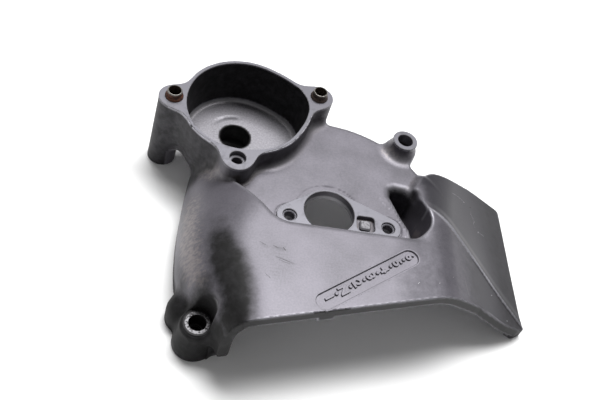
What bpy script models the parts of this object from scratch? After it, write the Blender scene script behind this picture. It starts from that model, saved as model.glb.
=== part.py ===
"""Motorcycle sprocket cover: one alloy casting that carries two hollow dowel sleeves.

The cover lies on its mounting plane with its outer side up. Plan places are measured from the
axis of the clutch bore, and heights from the mounting plane. At the end the whole part is moved
so that its origin is at the middle of its underside.
"""
import math

import bmesh
import bpy
from mathutils import Vector

# Walls and levels, in metres.
WALL = 0.0040
LIP_THICKNESS = 0.0070
LIP_WIDTH = 0.0050
ROOF_TOP = 0.0550
PLATE_TOP = 0.0412
PLATE_THICKNESS = 0.0038
PAD_RISE = 0.0018
CUP_RIM_TOP = 0.0560
CUP_FLOOR_TOP = 0.0220
CUP_FLOOR_THICKNESS = 0.0042
SKIRT_BOTTOM = 0.0270
WALL_FOOT = 0.0003
BELOW = 0.0050
SLACK = 0.0100

# Roof: a flat top, a broad shoulder on the left and a slope down to the fin on the right.
LEFT_WALL = ((0.041, -0.0828), (0.015, -0.0855), (-0.018, -0.0868), (-0.048, -0.0835),
             (-0.070, -0.0715), (-0.091, -0.0590), (-0.120, -0.0480))
SHOULDER_END = ((0.041, -0.0150), (0.015, -0.0240), (-0.018, -0.0420), (-0.048, -0.0470),
                (-0.070, -0.0460), (-0.091, -0.0448), (-0.120, -0.0440))
SHOULDER_FOOT = ((0.041, 0.0080), (0.015, 0.0100), (-0.018, 0.0140), (-0.048, 0.0190),
                 (-0.070, 0.0250), (-0.091, 0.0300), (-0.120, 0.0330))
SLOPE_START = 0.0615
SLOPE_FALL = 0.66
SLOPE_BEND_RADIUS = 0.0280
BODY_BACK = 0.0410
FRONT_LINE_OFFSET = -0.0752
FRONT_LINE_ANGLE = 15.0
STEP_LINE = -0.0193
STEP_CORNER_RADIUS = 0.0180
STEP_ANGLE = -49.0
STEP_BACK_END = (-0.0640, 0.0170)
STEP_RIGHT_END = 0.0535
JAMB_FOOT = 0.0170
JAMB_START = -0.0800

# Fin: a facet that falls from the ridge to its outer edge.
RIDGE_START = (0.0666, 0.0008)
RIDGE_END = (0.1330, -0.0425)
RIDGE_STEP = 0.0008
FIN_ROOT = ((0.0565, 0.0300, 0.0436), (0.0545, 0.0230, 0.0470), (0.0560, 0.0105, 0.0515))
FIN_EDGE = ((0.0648, 0.0443, 0.0418), (0.0715, 0.0460, 0.0420), (0.0860, 0.0460, 0.0345),
            (0.1040, 0.0480, 0.0245), (0.1297, 0.0500, 0.0052), (0.1330, 0.0080, 0.0058),
            (0.1337, -0.0400, 0.0076))
FIN_TOE = ((0.0950, -0.0502), (0.1180, -0.0488), (0.1290, -0.0464), (0.1345, -0.0432))

# Plate around the clutch bore.
PLATE_RADIUS = 0.0740
BORE_DIAMETER = 0.0313
BORE_COLLAR_DEPTH = 0.0072
PAD_LOBE_RADIUS = 0.0080
PAD_BORE_LAND = 0.0014
PAD_HOLE_SPACING = 0.0608
PAD_HOLE_DROP = 0.0060
PAD_HOLE_SHIFT = 0.0062
PAD_HOLE_DIAMETER = 0.0064
PAD_HOLE_MOUTH = 0.0086
SQUARE_RECESS = 0.0112
SQUARE_RECESS_PLACE = (0.0226, -0.0052)
SQUARE_RECESS_DEPTH = 0.0030
SQUARE_BOSS = 0.0072

# Pocket between the pad and the fin.
POCKET_LEFT = ((0.0384, 0.0250), (0.0378, 0.0205), (0.0400, 0.0137), (0.0450, 0.0040),
               (0.0502, -0.0045))
POCKET_NOSE_CENTRE = (0.0445, -0.0023)
POCKET_NOSE_RADIUS = 0.0160
POCKET_NOSE_FROM = -62.0
POCKET_BACK = ((0.0575, 0.0120), (0.0545, 0.0230), (0.0500, 0.0262), (0.0440, 0.0268))
POCKET_FLOOR = 0.0180
POCKET_WALL = 0.0030
POCKET_INSIDE = ((0.0550, -0.0100), (0.0550, 0.0080))
CREST_PLACE = (0.0605, 0.0085)
POCKET_SIDE_HOLLOW = ((0.0440, -0.0280), (0.0700, -0.0060), (0.0640, 0.0060), (0.0560, 0.0160),
                      (0.0440, 0.0100))

# Cup with three bosses on its rim.
CUP_CENTRE = (-0.0552, 0.0653)
CUP_BORE_RADIUS = 0.0360
CUP_CORNER_REACH = 0.0240
CUP_CORNER_ANGLE = 19.0
CUP_CORNER_RADIUS = 0.0140
CUP_DRAFT = 0.0012
CUP_WALL = 0.0026
CUP_FLOOR_FILLET = 0.0030
CUP_FLARE = 0.0042
CUP_HOLE_PLACE = (-0.0571, 0.0681)
CUP_HOLE_DIAMETER = 0.0190
RIM_BLEND = 0.0130
WEB_BOTTOM = 0.0140
BOSS_RADIUS = 0.0094
LEFT_BOSS = (-0.1003, 0.0627)
RIGHT_BOSS = (-0.0084, 0.0825)
FRONT_BOSS = (-0.0588, 0.0208)
BOSS_FOOT_GROWTH = 0.0008

# Loose bosses of the mounting bolts.
POST_PLACE = (0.0503, 0.0613)
POST_TOP = 0.0510
POST_RADIUS = 0.0073
POST_NECK_RADIUS = 0.0100
LUG_PLACE = (-0.0713, -0.0742)
LUG_TOP = 0.0225
LUG_RADIUS = 0.0098
LUG_FOOT_RADIUS = 0.0122
LUG_RING_RADIUS = 0.0080
LUG_RING_RISE = 0.0006
LUMP_PLACE = (-0.0780, -0.0590)
LUMP_TOP = 0.0200
LUMP_RADIUS = 0.0108
BOLT_HOLE_DIAMETER = 0.0066

# Dowel sleeves, and the seats that hold them.
DOWEL_OUTER = 0.0094
DOWEL_INNER = 0.0078
DOWEL_LENGTH = 0.0140
DOWEL_PROUD = 0.0050
DOWEL_CHAMFER = 0.0003
SEAT_GAP = 0.0003

# Gear pattern slot on the roof.
SLOT_START = (-0.0066, -0.0716)
SLOT_LENGTH = 0.0622
SLOT_WIDTH = 0.0113
SLOT_ANGLE = 35.3
SLOT_DEPTH = 0.0010

# Rib under the roof.
RIB_PLACE = -0.0050
RIB_THICKNESS = 0.0100
RIB_DEPTH = 0.0095

ROUND_SIDES = 32
SHOULDER_STEPS = 9
BEND_STEPS = 5
RIM_STEPS = 72


def clear_scene():
    """Remove whatever the scene holds."""
    for item in list(bpy.data.objects):
        bpy.data.objects.remove(item, do_unlink=True)


def metal(name, colour, roughness):
    """Return a plain metal material."""
    material = bpy.data.materials.new(name)
    material.use_nodes = True
    shader = material.node_tree.nodes["Principled BSDF"]
    shader.inputs["Base Color"].default_value = (*colour, 1.0)
    shader.inputs["Roughness"].default_value = roughness
    shader.inputs["Metallic"].default_value = 1.0
    return material


def solid(name, points, faces):
    """Return a closed mesh object with its faces pointing out."""
    mesh = bpy.data.meshes.new(name)
    mesh.from_pydata([tuple(point) for point in points], [], faces)
    shape = bmesh.new()
    shape.from_mesh(mesh)
    bmesh.ops.recalc_face_normals(shape, faces=shape.faces)
    shape.to_mesh(mesh)
    shape.free()
    made = bpy.data.objects.new(name, mesh)
    bpy.context.scene.collection.objects.link(made)
    return made


def guide(made):
    """Mark an object that only shapes another one."""
    made.hide_render = True
    made.display_type = "WIRE"
    return made


def loft(name, loops):
    """Return a solid through closed loops of as many points each, capped at both ends."""
    count = len(loops[0])
    points = [point for loop in loops for point in loop]
    faces = []
    for level in range(len(loops) - 1):
        low = level * count
        for index in range(count):
            after = (index + 1) % count
            faces.append((low + index, low + after, low + count + after, low + count + index))
    faces.append(tuple(range(count)))
    faces.append(tuple(range((len(loops) - 1) * count, len(loops) * count)))
    return solid(name, points, faces)


def at_height(outline, height):
    """Lift a plan outline to a height."""
    return [(x, y, height) for x, y in outline]


def prism(name, outline, bottom, top):
    """Return an upright prism on a plan outline."""
    return loft(name, [at_height(outline, bottom), at_height(outline, top)])


def arc(centre, radius, start, end, steps):
    """Return points on an arc, with its angles in degrees."""
    angles = [math.radians(start + (end - start) * step / steps) for step in range(steps + 1)]
    return [(centre[0] + radius * math.cos(a), centre[1] + radius * math.sin(a)) for a in angles]


def circle(centre, radius, sides=ROUND_SIDES):
    """Return a closed round outline."""
    return arc(centre, radius, 0.0, 360.0, sides)[:-1]


def turned(name, centre, profile, sides=ROUND_SIDES):
    """Return a turned solid from (radius, height) pairs that rise from its foot."""
    return loft(name, [at_height(circle(centre, radius, sides), height)
                       for radius, height in profile])


def combine(target, tool, operation):
    """Join, cut or trim a target with a guide object."""
    guide(tool)
    modifier = target.modifiers.new(f"{operation.lower()} {tool.name}", "BOOLEAN")
    modifier.operation = operation
    modifier.solver = "EXACT"
    modifier.object = tool
    return target


def smooth_reading(stations, place):
    """Read a smooth curve through (place, value) stations that run from high to low."""
    places = [station[0] for station in stations]
    values = [station[1] for station in stations]
    index = 0
    while index < len(places) - 2 and place < places[index + 1]:
        index += 1
    before = max(index - 1, 0)
    after = min(index + 2, len(places) - 1)
    span = places[index + 1] - places[index]
    part = (place - places[index]) / span
    start_slope = (values[index + 1] - values[before]) / (places[index + 1] - places[before])
    end_slope = (values[after] - values[index]) / (places[after] - places[index])
    square = part * part
    cube = square * part
    return (values[index] * (2 * cube - 3 * square + 1)
            + start_slope * span * (cube - 2 * square + part)
            + values[index + 1] * (3 * square - 2 * cube)
            + end_slope * span * (cube - square))


def offset_line(points, distance):
    """Move an open line of plan points sideways, to its left where distance is positive."""
    moved = []
    for index, point in enumerate(points):
        before = points[max(index - 1, 0)]
        after = points[min(index + 1, len(points) - 1)]
        way = Vector((after[0] - before[0], after[1] - before[1])).normalized()
        moved.append((point[0] - way.y * distance, point[1] + way.x * distance))
    return moved


def offset_loop(points, distance):
    """Move a closed plan outline outwards where distance is positive. It runs anticlockwise."""
    moved = []
    count = len(points)
    for index, point in enumerate(points):
        before = points[index - 1]
        after = points[(index + 1) % count]
        way = Vector((after[0] - before[0], after[1] - before[1])).normalized()
        moved.append((point[0] + way.y * distance, point[1] - way.x * distance))
    return moved


def front_line(x, shift=0.0):
    """Return the front edge's place across the cover, moved back by shift."""
    return FRONT_LINE_OFFSET + shift + x * math.tan(math.radians(FRONT_LINE_ANGLE))


def slope_height(x):
    """Return the height of the roof's slope."""
    return ROOF_TOP - SLOPE_FALL * (x - SLOPE_START)


def ridge_point(part, inset=0.0, drop=0.0):
    """Return a point on the ridge, from its start at 0 to its end at 1."""
    x = RIDGE_START[0] + (RIDGE_END[0] - RIDGE_START[0]) * part
    y = RIDGE_START[1] + (RIDGE_END[1] - RIDGE_START[1]) * part
    way = Vector((RIDGE_END[0] - RIDGE_START[0], RIDGE_END[1] - RIDGE_START[1])).normalized()
    return (x + way.y * inset, y - way.x * inset, slope_height(x) + RIDGE_STEP - drop)


def body_section(y, shell):
    """Return one section across the body, a distance of shell inside its outer skin."""
    left = smooth_reading(LEFT_WALL, y) + shell
    shoulder = smooth_reading(SHOULDER_END, y)
    foot = smooth_reading(SHOULDER_FOOT, y)
    top = ROOF_TOP - shell
    floor = -BELOW if shell else WALL_FOOT
    points = [(left, floor)]
    for step in range(SHOULDER_STEPS + 1):
        angle = 0.5 * math.pi * step / SHOULDER_STEPS
        points.append((shoulder + (left - shoulder) * math.cos(angle),
                       foot + (top - foot) * math.sin(angle)))
    tilt = math.atan(SLOPE_FALL)
    radius = SLOPE_BEND_RADIUS - shell
    bend_start = SLOPE_START - SLOPE_BEND_RADIUS * math.tan(0.5 * tilt)
    for step in range(BEND_STEPS + 1):
        angle = tilt * step / BEND_STEPS
        points.append((bend_start + radius * math.sin(angle),
                       top - radius * (1.0 - math.cos(angle))))
    drop = shell / math.cos(tilt)
    toe = floor + 0.4 * BELOW
    end = SLOPE_START + (ROOF_TOP - drop - toe) / SLOPE_FALL
    points.append((end, toe))
    points.append((end, floor))
    return [(x, y, z) for x, z in points]


def body_block(name, shell):
    """Return the body under its roof as a block, a distance of shell inside its skin."""
    back = BODY_BACK - shell
    front = front_line(LEFT_WALL[-1][1]) - SLACK
    steps = 14
    places = [back + (front - back) * step / steps for step in range(steps + 1)]
    return loft(name, [body_section(y, shell) for y in places])


def step_edge(inset):
    """Return the back edge of the roof, from the cup to the pocket, moved in by inset."""
    slant = Vector((math.cos(math.radians(STEP_ANGLE)), math.sin(math.radians(STEP_ANGLE))))
    start = Vector(STEP_BACK_END)
    corner = start + slant * ((STEP_LINE - start.y) / slant.y)
    turn = math.radians(-STEP_ANGLE)
    reach = STEP_CORNER_RADIUS * math.tan(0.5 * turn)
    centre = (corner.x + reach, STEP_LINE + STEP_CORNER_RADIUS)
    bend = arc(centre, STEP_CORNER_RADIUS, 270.0 + STEP_ANGLE, 270.0, 6)
    line = [(start.x, BODY_BACK + SLACK), (start.x, start.y), *bend]
    line.append((STEP_RIGHT_END, STEP_LINE))
    return offset_line(line, -inset)


def body_plan(inset):
    """Return the plan of the body's roof, with its back edges moved in by inset."""
    line = step_edge(inset)
    far_left = LEFT_WALL[2][1] - SLACK
    front_slack = SLACK if inset else 0.0
    nose = [POCKET_INSIDE[0]] if inset else list(POCKET_INSIDE) + [CREST_PLACE]
    start = 0.1 if inset else 0.0
    ridge = [ridge_point(part, -0.002) for part in (start, 0.5, 0.97)]
    plan = [(far_left, BODY_BACK + SLACK)] + line
    plan += nose + [(x, y) for x, y, _ in ridge]
    toe = [(x, y - front_slack) for x, y in reversed(FIN_TOE)]
    plan += toe
    plan.append((far_left, front_line(far_left) - front_slack))
    return plan[::-1]


def fin_block(name, shell):
    """Return the block under the fin's facet, a distance of shell inside its skin."""
    drop = shell / math.cos(math.atan(SLOPE_FALL))
    root = offset_line([(x, y) for x, y, _ in FIN_ROOT], shell)
    inner = [(x, y, FIN_ROOT[i][2] - drop) for i, (x, y) in enumerate(root)]
    across = 2 * shell
    inner += [ridge_point(part, across, drop) for part in (0.0, 0.32, 0.68, 0.98)]
    edge = offset_line([(x, y) for x, y, _ in FIN_EDGE], -shell)
    outer = [(x, y, FIN_EDGE[i][2] - drop) for i, (x, y) in enumerate(edge)]
    floor = -2 * BELOW if shell else WALL_FOOT
    count = len(inner)
    points = inner + outer
    points += [(x, y, floor) for x, y, _ in points]
    faces = []
    for index in range(count - 1):
        faces.append((index, index + 1, count + index))
        faces.append((index + 1, count + index + 1, count + index))
        low = 2 * count
        faces.append((low + index, low + index + 1, low + count + index))
        faces.append((low + index + 1, low + count + index + 1, low + count + index))
    rim = list(range(count)) + list(range(2 * count - 1, count - 1, -1))
    for index, here in enumerate(rim):
        after = rim[(index + 1) % len(rim)]
        faces.append((here, after, 2 * count + after, 2 * count + here))
    return solid(name, points, faces)


def plate_plan(inset):
    """Return the plan of the plate, with its far edge moved in by inset."""
    radius = PLATE_RADIUS - inset
    far = arc((0.0, 0.0), radius, 56.0, 96.0, 10)
    corner = (FIN_EDGE[0][0] - inset, FIN_EDGE[0][1] - inset)
    post_side = (POST_PLACE[0] + 0.7 * POST_RADIUS - inset, POST_PLACE[1] - 0.7 * POST_RADIUS)
    right = [(RIDGE_START[0] - 2 * inset, RIDGE_START[1]), corner, post_side]
    right.append((POST_PLACE[0] - inset, POST_PLACE[1]))
    under_step = -0.5 * (WALL + inset)
    left = [(CUP_CENTRE[0], CUP_CENTRE[1] + 2 * inset),
            (STEP_BACK_END[0] + under_step, STEP_BACK_END[1])]
    front = STEP_LINE - 2 * WALL
    front_left = STEP_LINE - 2 * WALL + under_step
    return [(front_left, front), (POCKET_INSIDE[0][0], front)] + right + far + left


def pocket_plan():
    """Return the pocket's outline."""
    nose = arc(POCKET_NOSE_CENTRE, POCKET_NOSE_RADIUS, POCKET_NOSE_FROM, 0.0, 6)
    return list(POCKET_LEFT) + nose + list(POCKET_BACK)


def cup_rounds():
    """Return the rounds that the cup's hollow is blended from, as centres and radii."""
    way = math.radians(CUP_CORNER_ANGLE)
    corner = (CUP_CENTRE[0] + CUP_CORNER_REACH * math.cos(way),
              CUP_CENTRE[1] + CUP_CORNER_REACH * math.sin(way))
    return [(CUP_CENTRE, CUP_BORE_RADIUS), (corner, CUP_CORNER_RADIUS)]


def blended_distance(x, y, rounds, growth):
    """Return the distance from a point to an outline blended between rounds."""
    distance = 1.0
    for centre, radius in rounds:
        other = math.hypot(x - centre[0], y - centre[1]) - radius - growth
        weight = max(RIM_BLEND - abs(distance - other), 0.0) / RIM_BLEND
        distance = min(distance, other) - weight * weight * RIM_BLEND * 0.25
    return distance


def blended_outline(rounds, growth, turn=0.0):
    """Return an outline blended between rounds, found along rays from the cup's axis.

    The rays start at turn, in steps between rays, so that two outlines can keep their corners
    apart.
    """
    points = []
    for step in range(RIM_STEPS):
        angle = 2.0 * math.pi * (step + turn) / RIM_STEPS
        way = (math.cos(angle), math.sin(angle))
        near = 0.5 * CUP_BORE_RADIUS
        far = CUP_BORE_RADIUS + 4.0 * BOSS_RADIUS
        for _ in range(30):
            middle = 0.5 * (near + far)
            x = CUP_CENTRE[0] + way[0] * middle
            y = CUP_CENTRE[1] + way[1] * middle
            if blended_distance(x, y, rounds, growth) < 0.0:
                near = middle
            else:
                far = middle
        points.append((CUP_CENTRE[0] + way[0] * near, CUP_CENTRE[1] + way[1] * near))
    return points


def wall_rounds(lobes):
    """Return the rounds of the cup's outer wall with some of its bosses."""
    rounds = [(centre, radius + CUP_WALL) for centre, radius in cup_rounds()]
    return rounds + [(lobe, BOSS_RADIUS) for lobe in lobes]


def cup_flare():
    """Return the flared foot of the cup's wall where it stands on the plate."""
    rounds = wall_rounds((FRONT_BOSS,))
    levels = ((CUP_FLARE, -0.5 * PLATE_THICKNESS), (CUP_FLARE, 0.0003),
              (0.3 * CUP_FLARE, 0.3 * CUP_FLARE), (-0.0010, CUP_FLARE))
    flare = loft("cup flare", [at_height(blended_outline(rounds, growth, 0.5), PLATE_TOP + rise)
                               for growth, rise in levels])
    plan = prism("flare plan", plate_plan(0.0002), SKIRT_BOTTOM, ROOF_TOP)
    return combine(flare, plan, "INTERSECT")


def cup_body():
    """Return the cup's wall and bosses as one solid block."""
    lobes = (LEFT_BOSS, RIGHT_BOSS, FRONT_BOSS)
    bottom = CUP_FLOOR_TOP - CUP_FLOOR_THICKNESS
    upper = prism("cup upper", blended_outline(wall_rounds(lobes[1:]), 0.0),
                  SKIRT_BOTTOM + WALL_FOOT, CUP_RIM_TOP)
    wall = wall_rounds(())
    lower = loft("cup lower", [
        at_height(blended_outline(wall, -CUP_FLOOR_FILLET - CUP_DRAFT), bottom),
        at_height(blended_outline(wall, -CUP_DRAFT), bottom + CUP_FLOOR_FILLET),
        at_height(blended_outline(wall, -CUP_DRAFT), CUP_RIM_TOP - 0.0010)])
    side = turned("left boss", LEFT_BOSS, [
        (BOSS_RADIUS + BOSS_FOOT_GROWTH - 0.001, 0.0),
        (BOSS_RADIUS + BOSS_FOOT_GROWTH, 0.0015),
        (BOSS_RADIUS, CUP_RIM_TOP)])
    web = loft("left web", [
        at_height(rim_web(LEFT_BOSS, 0.4), WEB_BOTTOM),
        at_height(rim_web(LEFT_BOSS, 0.6), 0.5 * (WEB_BOTTOM + CUP_RIM_TOP)),
        at_height(rim_web(LEFT_BOSS, 1.0), CUP_RIM_TOP)])
    for tool in (upper, side, web, cup_flare()):
        combine(lower, tool, "UNION")
    return lower


def rim_web(lobe, share):
    """Return the outline of the web that joins a boss to the cup's wall."""
    way = Vector((CUP_CENTRE[0] - lobe[0], CUP_CENTRE[1] - lobe[1])).normalized()
    side = Vector((-way.y, way.x))
    centre = Vector(CUP_CENTRE)
    near = Vector(lobe)
    reach = 0.80 * CUP_BORE_RADIUS
    wide = 0.62 * CUP_BORE_RADIUS * share
    thin = 0.80 * BOSS_RADIUS * math.sqrt(share)
    return [tuple(near - side * thin), tuple(centre - way * reach - side * wide),
            tuple(centre - way * reach + side * wide), tuple(near + side * thin)]


def cup_cavity():
    """Return the hollow of the cup."""
    rounds = cup_rounds()
    floor = -CUP_DRAFT
    return loft("cup cavity", [
        at_height(blended_outline(rounds, floor - CUP_FLOOR_FILLET), CUP_FLOOR_TOP),
        at_height(blended_outline(rounds, floor - 0.3 * CUP_FLOOR_FILLET),
                  CUP_FLOOR_TOP + 0.3 * CUP_FLOOR_FILLET),
        at_height(blended_outline(rounds, floor), CUP_FLOOR_TOP + CUP_FLOOR_FILLET),
        at_height(blended_outline(rounds, 0.0), CUP_RIM_TOP + SLACK)])


def pad_holes():
    """Return the places of the pad's two screw holes."""
    middle = PAD_HOLE_SHIFT
    return [(middle - 0.5 * PAD_HOLE_SPACING, -PAD_HOLE_DROP),
            (middle + 0.5 * PAD_HOLE_SPACING, -PAD_HOLE_DROP)]


def hull(points):
    """Return the convex outline around plan points, anticlockwise."""
    ordered = sorted(set(points))
    sides = []
    for run in (ordered, ordered[::-1]):
        side = []
        for point in run:
            while len(side) > 1:
                first = Vector(side[-1]) - Vector(side[-2])
                second = Vector(point) - Vector(side[-1])
                if first.x * second.y - first.y * second.x > 0.0:
                    break
                side.pop()
            side.append(point)
        sides += side[:-1]
    return sides


def pad():
    """Return the raised pad around the clutch bore and its two screw holes."""
    rounds = circle((0.0, 0.0), 0.5 * BORE_DIAMETER + PAD_BORE_LAND)
    for place in pad_holes():
        rounds += circle(place, PAD_LOBE_RADIUS, 24)
    top = PLATE_TOP + PAD_RISE
    return prism("pad", hull(rounds), top - BORE_COLLAR_DEPTH, top)


def stepped_hole(name, place, mouth, depth, hole, top, bottom):
    """Return a cutter for a hole with a wider mouth."""
    return turned(name, place, [(0.5 * hole, bottom), (0.5 * hole, top - depth),
                                (0.5 * mouth, top - depth), (0.5 * mouth, top + SLACK)])


def slot_outline(length, width):
    """Return the rounded outline of the gear pattern slot."""
    way = math.radians(SLOT_ANGLE)
    end = (SLOT_START[0] + length * math.cos(way), SLOT_START[1] + length * math.sin(way))
    right = arc(end, 0.5 * width, SLOT_ANGLE - 90.0, SLOT_ANGLE + 90.0, 10)
    left = arc(SLOT_START, 0.5 * width, SLOT_ANGLE + 90.0, SLOT_ANGLE + 270.0, 10)
    return right + left


def square_outline(place, size):
    """Return a square outline with cut corners."""
    half = 0.5 * size
    cut = 0.2 * size
    corners = [(half, half - cut), (half - cut, half), (cut - half, half), (-half, half - cut),
               (-half, cut - half), (cut - half, -half), (half - cut, -half), (half, cut - half)]
    return [(place[0] + x, place[1] + y) for x, y in corners]


def envelope_block():
    """Return the outer form of body, fin and plate as one closed block."""
    body = body_block("body block", 0.0)
    combine(body, prism("body plan", body_plan(0.0), -BELOW, ROOF_TOP + SLACK), "INTERSECT")
    combine(body, fin_block("fin block", 0.0), "UNION")
    combine(body, prism("plate block", plate_plan(0.0), WALL_FOOT, PLATE_TOP), "UNION")
    return body


def front_strip():
    """Return the strip along the front edge that stays thicker than the roof."""
    far_left = LEFT_WALL[2][1] - SLACK
    ahead = 2 * SLACK
    toe = [(x, y - ahead) for x, y in FIN_TOE]
    back = [(x, y + LIP_WIDTH) for x, y in reversed(FIN_TOE)]
    outline = [(far_left, front_line(far_left) - ahead)] + toe + back
    outline.append((far_left, front_line(far_left, LIP_WIDTH)))
    return prism("front strip", outline, -BELOW, ROOF_TOP + BELOW)


def chamber():
    """Return the hollow under the roof, the fin and the plate, less what stands in it."""
    under_plate = PLATE_TOP - PLATE_THICKNESS
    high = body_block("chamber", WALL)
    combine(high, prism("chamber plan", body_plan(WALL), -2 * BELOW, ROOF_TOP), "INTERSECT")
    low = body_block("lower chamber", WALL)
    left = STEP_BACK_END[0] - 2 * WALL
    low_plan = [(left, STEP_LINE - 2 * WALL), (-STEP_LINE, STEP_LINE - 2 * WALL),
                (-STEP_LINE, BODY_BACK - WALL), (left, BODY_BACK - WALL)]
    combine(low, prism("lower plan", low_plan, -2 * BELOW, under_plate), "INTERSECT")
    combine(high, low, "UNION")
    plate_hollow = prism("plate hollow", plate_plan(WALL), -0.8 * BELOW, under_plate - 0.0001)
    combine(high, plate_hollow, "UNION")
    combine(high, fin_block("fin hollow", WALL), "UNION")
    beside = prism("hollow beside the pocket", POCKET_SIDE_HOLLOW, -0.9 * BELOW,
                   PLATE_TOP - 0.7 * PLATE_THICKNESS)
    combine(high, beside, "UNION")
    lip = body_block("lip form", LIP_THICKNESS)
    strip = front_strip()
    combine(strip, lip, "DIFFERENCE")
    combine(high, strip, "DIFFERENCE")
    top = PLATE_TOP + PAD_RISE
    inner_parts = [
        prism("pocket boot", offset_loop(pocket_plan(), POCKET_WALL),
              POCKET_FLOOR - POCKET_WALL, ROOF_TOP + SLACK),
        turned("bore collar", (0.0, 0.0), [
            (0.5 * BORE_DIAMETER + WALL, top - BORE_COLLAR_DEPTH - 0.0004),
            (0.5 * BORE_DIAMETER + WALL + 0.001, PLATE_TOP)]),
    ]
    for place in pad_holes():
        inner_parts.append(turned("pad screw boss", place, [
            (PAD_LOBE_RADIUS - 0.0012, top - 2 * BORE_COLLAR_DEPTH),
            (PAD_LOBE_RADIUS, PLATE_TOP)]))
    near = RIB_PLACE - 0.5 * RIB_THICKNESS
    far = RIB_PLACE + 0.5 * RIB_THICKNESS
    front = front_line(RIB_PLACE) - SLACK
    outline = [(near, front), (far, front), (far, STEP_LINE + WALL), (near, STEP_LINE + WALL)]
    inner_parts.append(prism("roof rib", outline, ROOF_TOP - RIB_DEPTH, ROOF_TOP))
    for inner in inner_parts:
        combine(high, inner, "DIFFERENCE")
    return high


def skirt_window():
    """Return the cutter that leaves the plate's far edge only a short skirt."""
    ring = arc((0.0, 0.0), PLATE_RADIUS + SLACK, 32.0, 112.0, 12)
    inner = arc((0.0, 0.0), PLATE_RADIUS - SLACK, 112.0, 32.0, 12)
    return prism("skirt window", ring + inner, -BELOW, SKIRT_BOTTOM)


def jamb_relief():
    """Return the cutter that ends the left wall above the mounting plane at its front."""
    left = LEFT_WALL[0][1]
    right = SHOULDER_END[-1][1]
    front = front_line(left) - 2 * SLACK
    outline = [(left, front), (right, front), (right, JAMB_START), (left, JAMB_START)]
    return prism("jamb relief", outline, -BELOW, JAMB_FOOT)


def lug():
    """Return the mounting lug at the lower left, with the lump beside it."""
    foot = turned("lug foot", LUG_PLACE, [
        (LUG_FOOT_RADIUS, 0.0), (LUG_FOOT_RADIUS - 0.0006, 0.4 * LUG_TOP),
        (LUG_RADIUS, 0.85 * LUG_TOP), (LUG_RING_RADIUS + 0.0008, LUG_TOP)])
    ring = turned("lug ring", LUG_PLACE, [
        (LUG_RING_RADIUS, 0.5 * LUG_TOP), (LUG_RING_RADIUS, LUG_TOP + LUG_RING_RISE)])
    lump = turned("lug lump", LUMP_PLACE, [
        (LUMP_RADIUS, 0.0), (LUMP_RADIUS, 0.45 * LUMP_TOP), (0.85 * LUMP_RADIUS, 0.75 * LUMP_TOP),
        (0.5 * LUMP_RADIUS, 0.95 * LUMP_TOP), (0.2 * LUMP_RADIUS, LUMP_TOP)])
    wall_y = LUG_PLACE[1] + 1.2 * LUG_RADIUS
    wall_x = smooth_reading(LEFT_WALL, wall_y) + 2 * WALL
    outline = [(LUG_PLACE[0] - 0.8 * LUG_RADIUS, LUG_PLACE[1] - 0.4 * LUG_RADIUS),
               (LUG_PLACE[0] + 0.7 * LUG_RADIUS, LUG_PLACE[1] - LUG_RADIUS),
               (LUG_PLACE[0] + 1.4 * LUG_RADIUS, LUG_PLACE[1] - 1.3 * LUG_RADIUS),
               (LUG_PLACE[0] + 1.7 * LUG_RADIUS, LUG_PLACE[1] - 0.6 * LUG_RADIUS),
               (wall_x, wall_y), (LUMP_PLACE[0], LUMP_PLACE[1])]
    web = prism("lug web", outline, 0.0, 0.8 * LUG_TOP)
    for tool in (ring, lump, web):
        combine(foot, tool, "UNION")
    return foot


def post():
    """Return the boss at the plate's far corner, down to the mounting plane."""
    return turned("post", POST_PLACE, [
        (POST_RADIUS + 0.001, 0.0), (POST_RADIUS + 0.001, PLATE_TOP - 2 * PLATE_THICKNESS),
        (POST_NECK_RADIUS, PLATE_TOP - PLATE_THICKNESS), (POST_NECK_RADIUS, PLATE_TOP + 0.0003),
        (POST_NECK_RADIUS - 0.0026, PLATE_TOP + 0.0014),
        (POST_RADIUS + 0.0009, PLATE_TOP + 0.0040),
        (POST_RADIUS - 0.0002, POST_TOP - 0.0012), (POST_RADIUS, POST_TOP - 0.0010),
        (POST_RADIUS, POST_TOP)])


def seat_hole(name, place, rim, bottom):
    """Return the cutter of a dowel seat with the bolt hole below it."""
    seat_depth = DOWEL_LENGTH - DOWEL_PROUD + SEAT_GAP
    return stepped_hole(name, place, DOWEL_OUTER + 2 * SEAT_GAP, seat_depth,
                        BOLT_HOLE_DIAMETER, rim, bottom)


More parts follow.
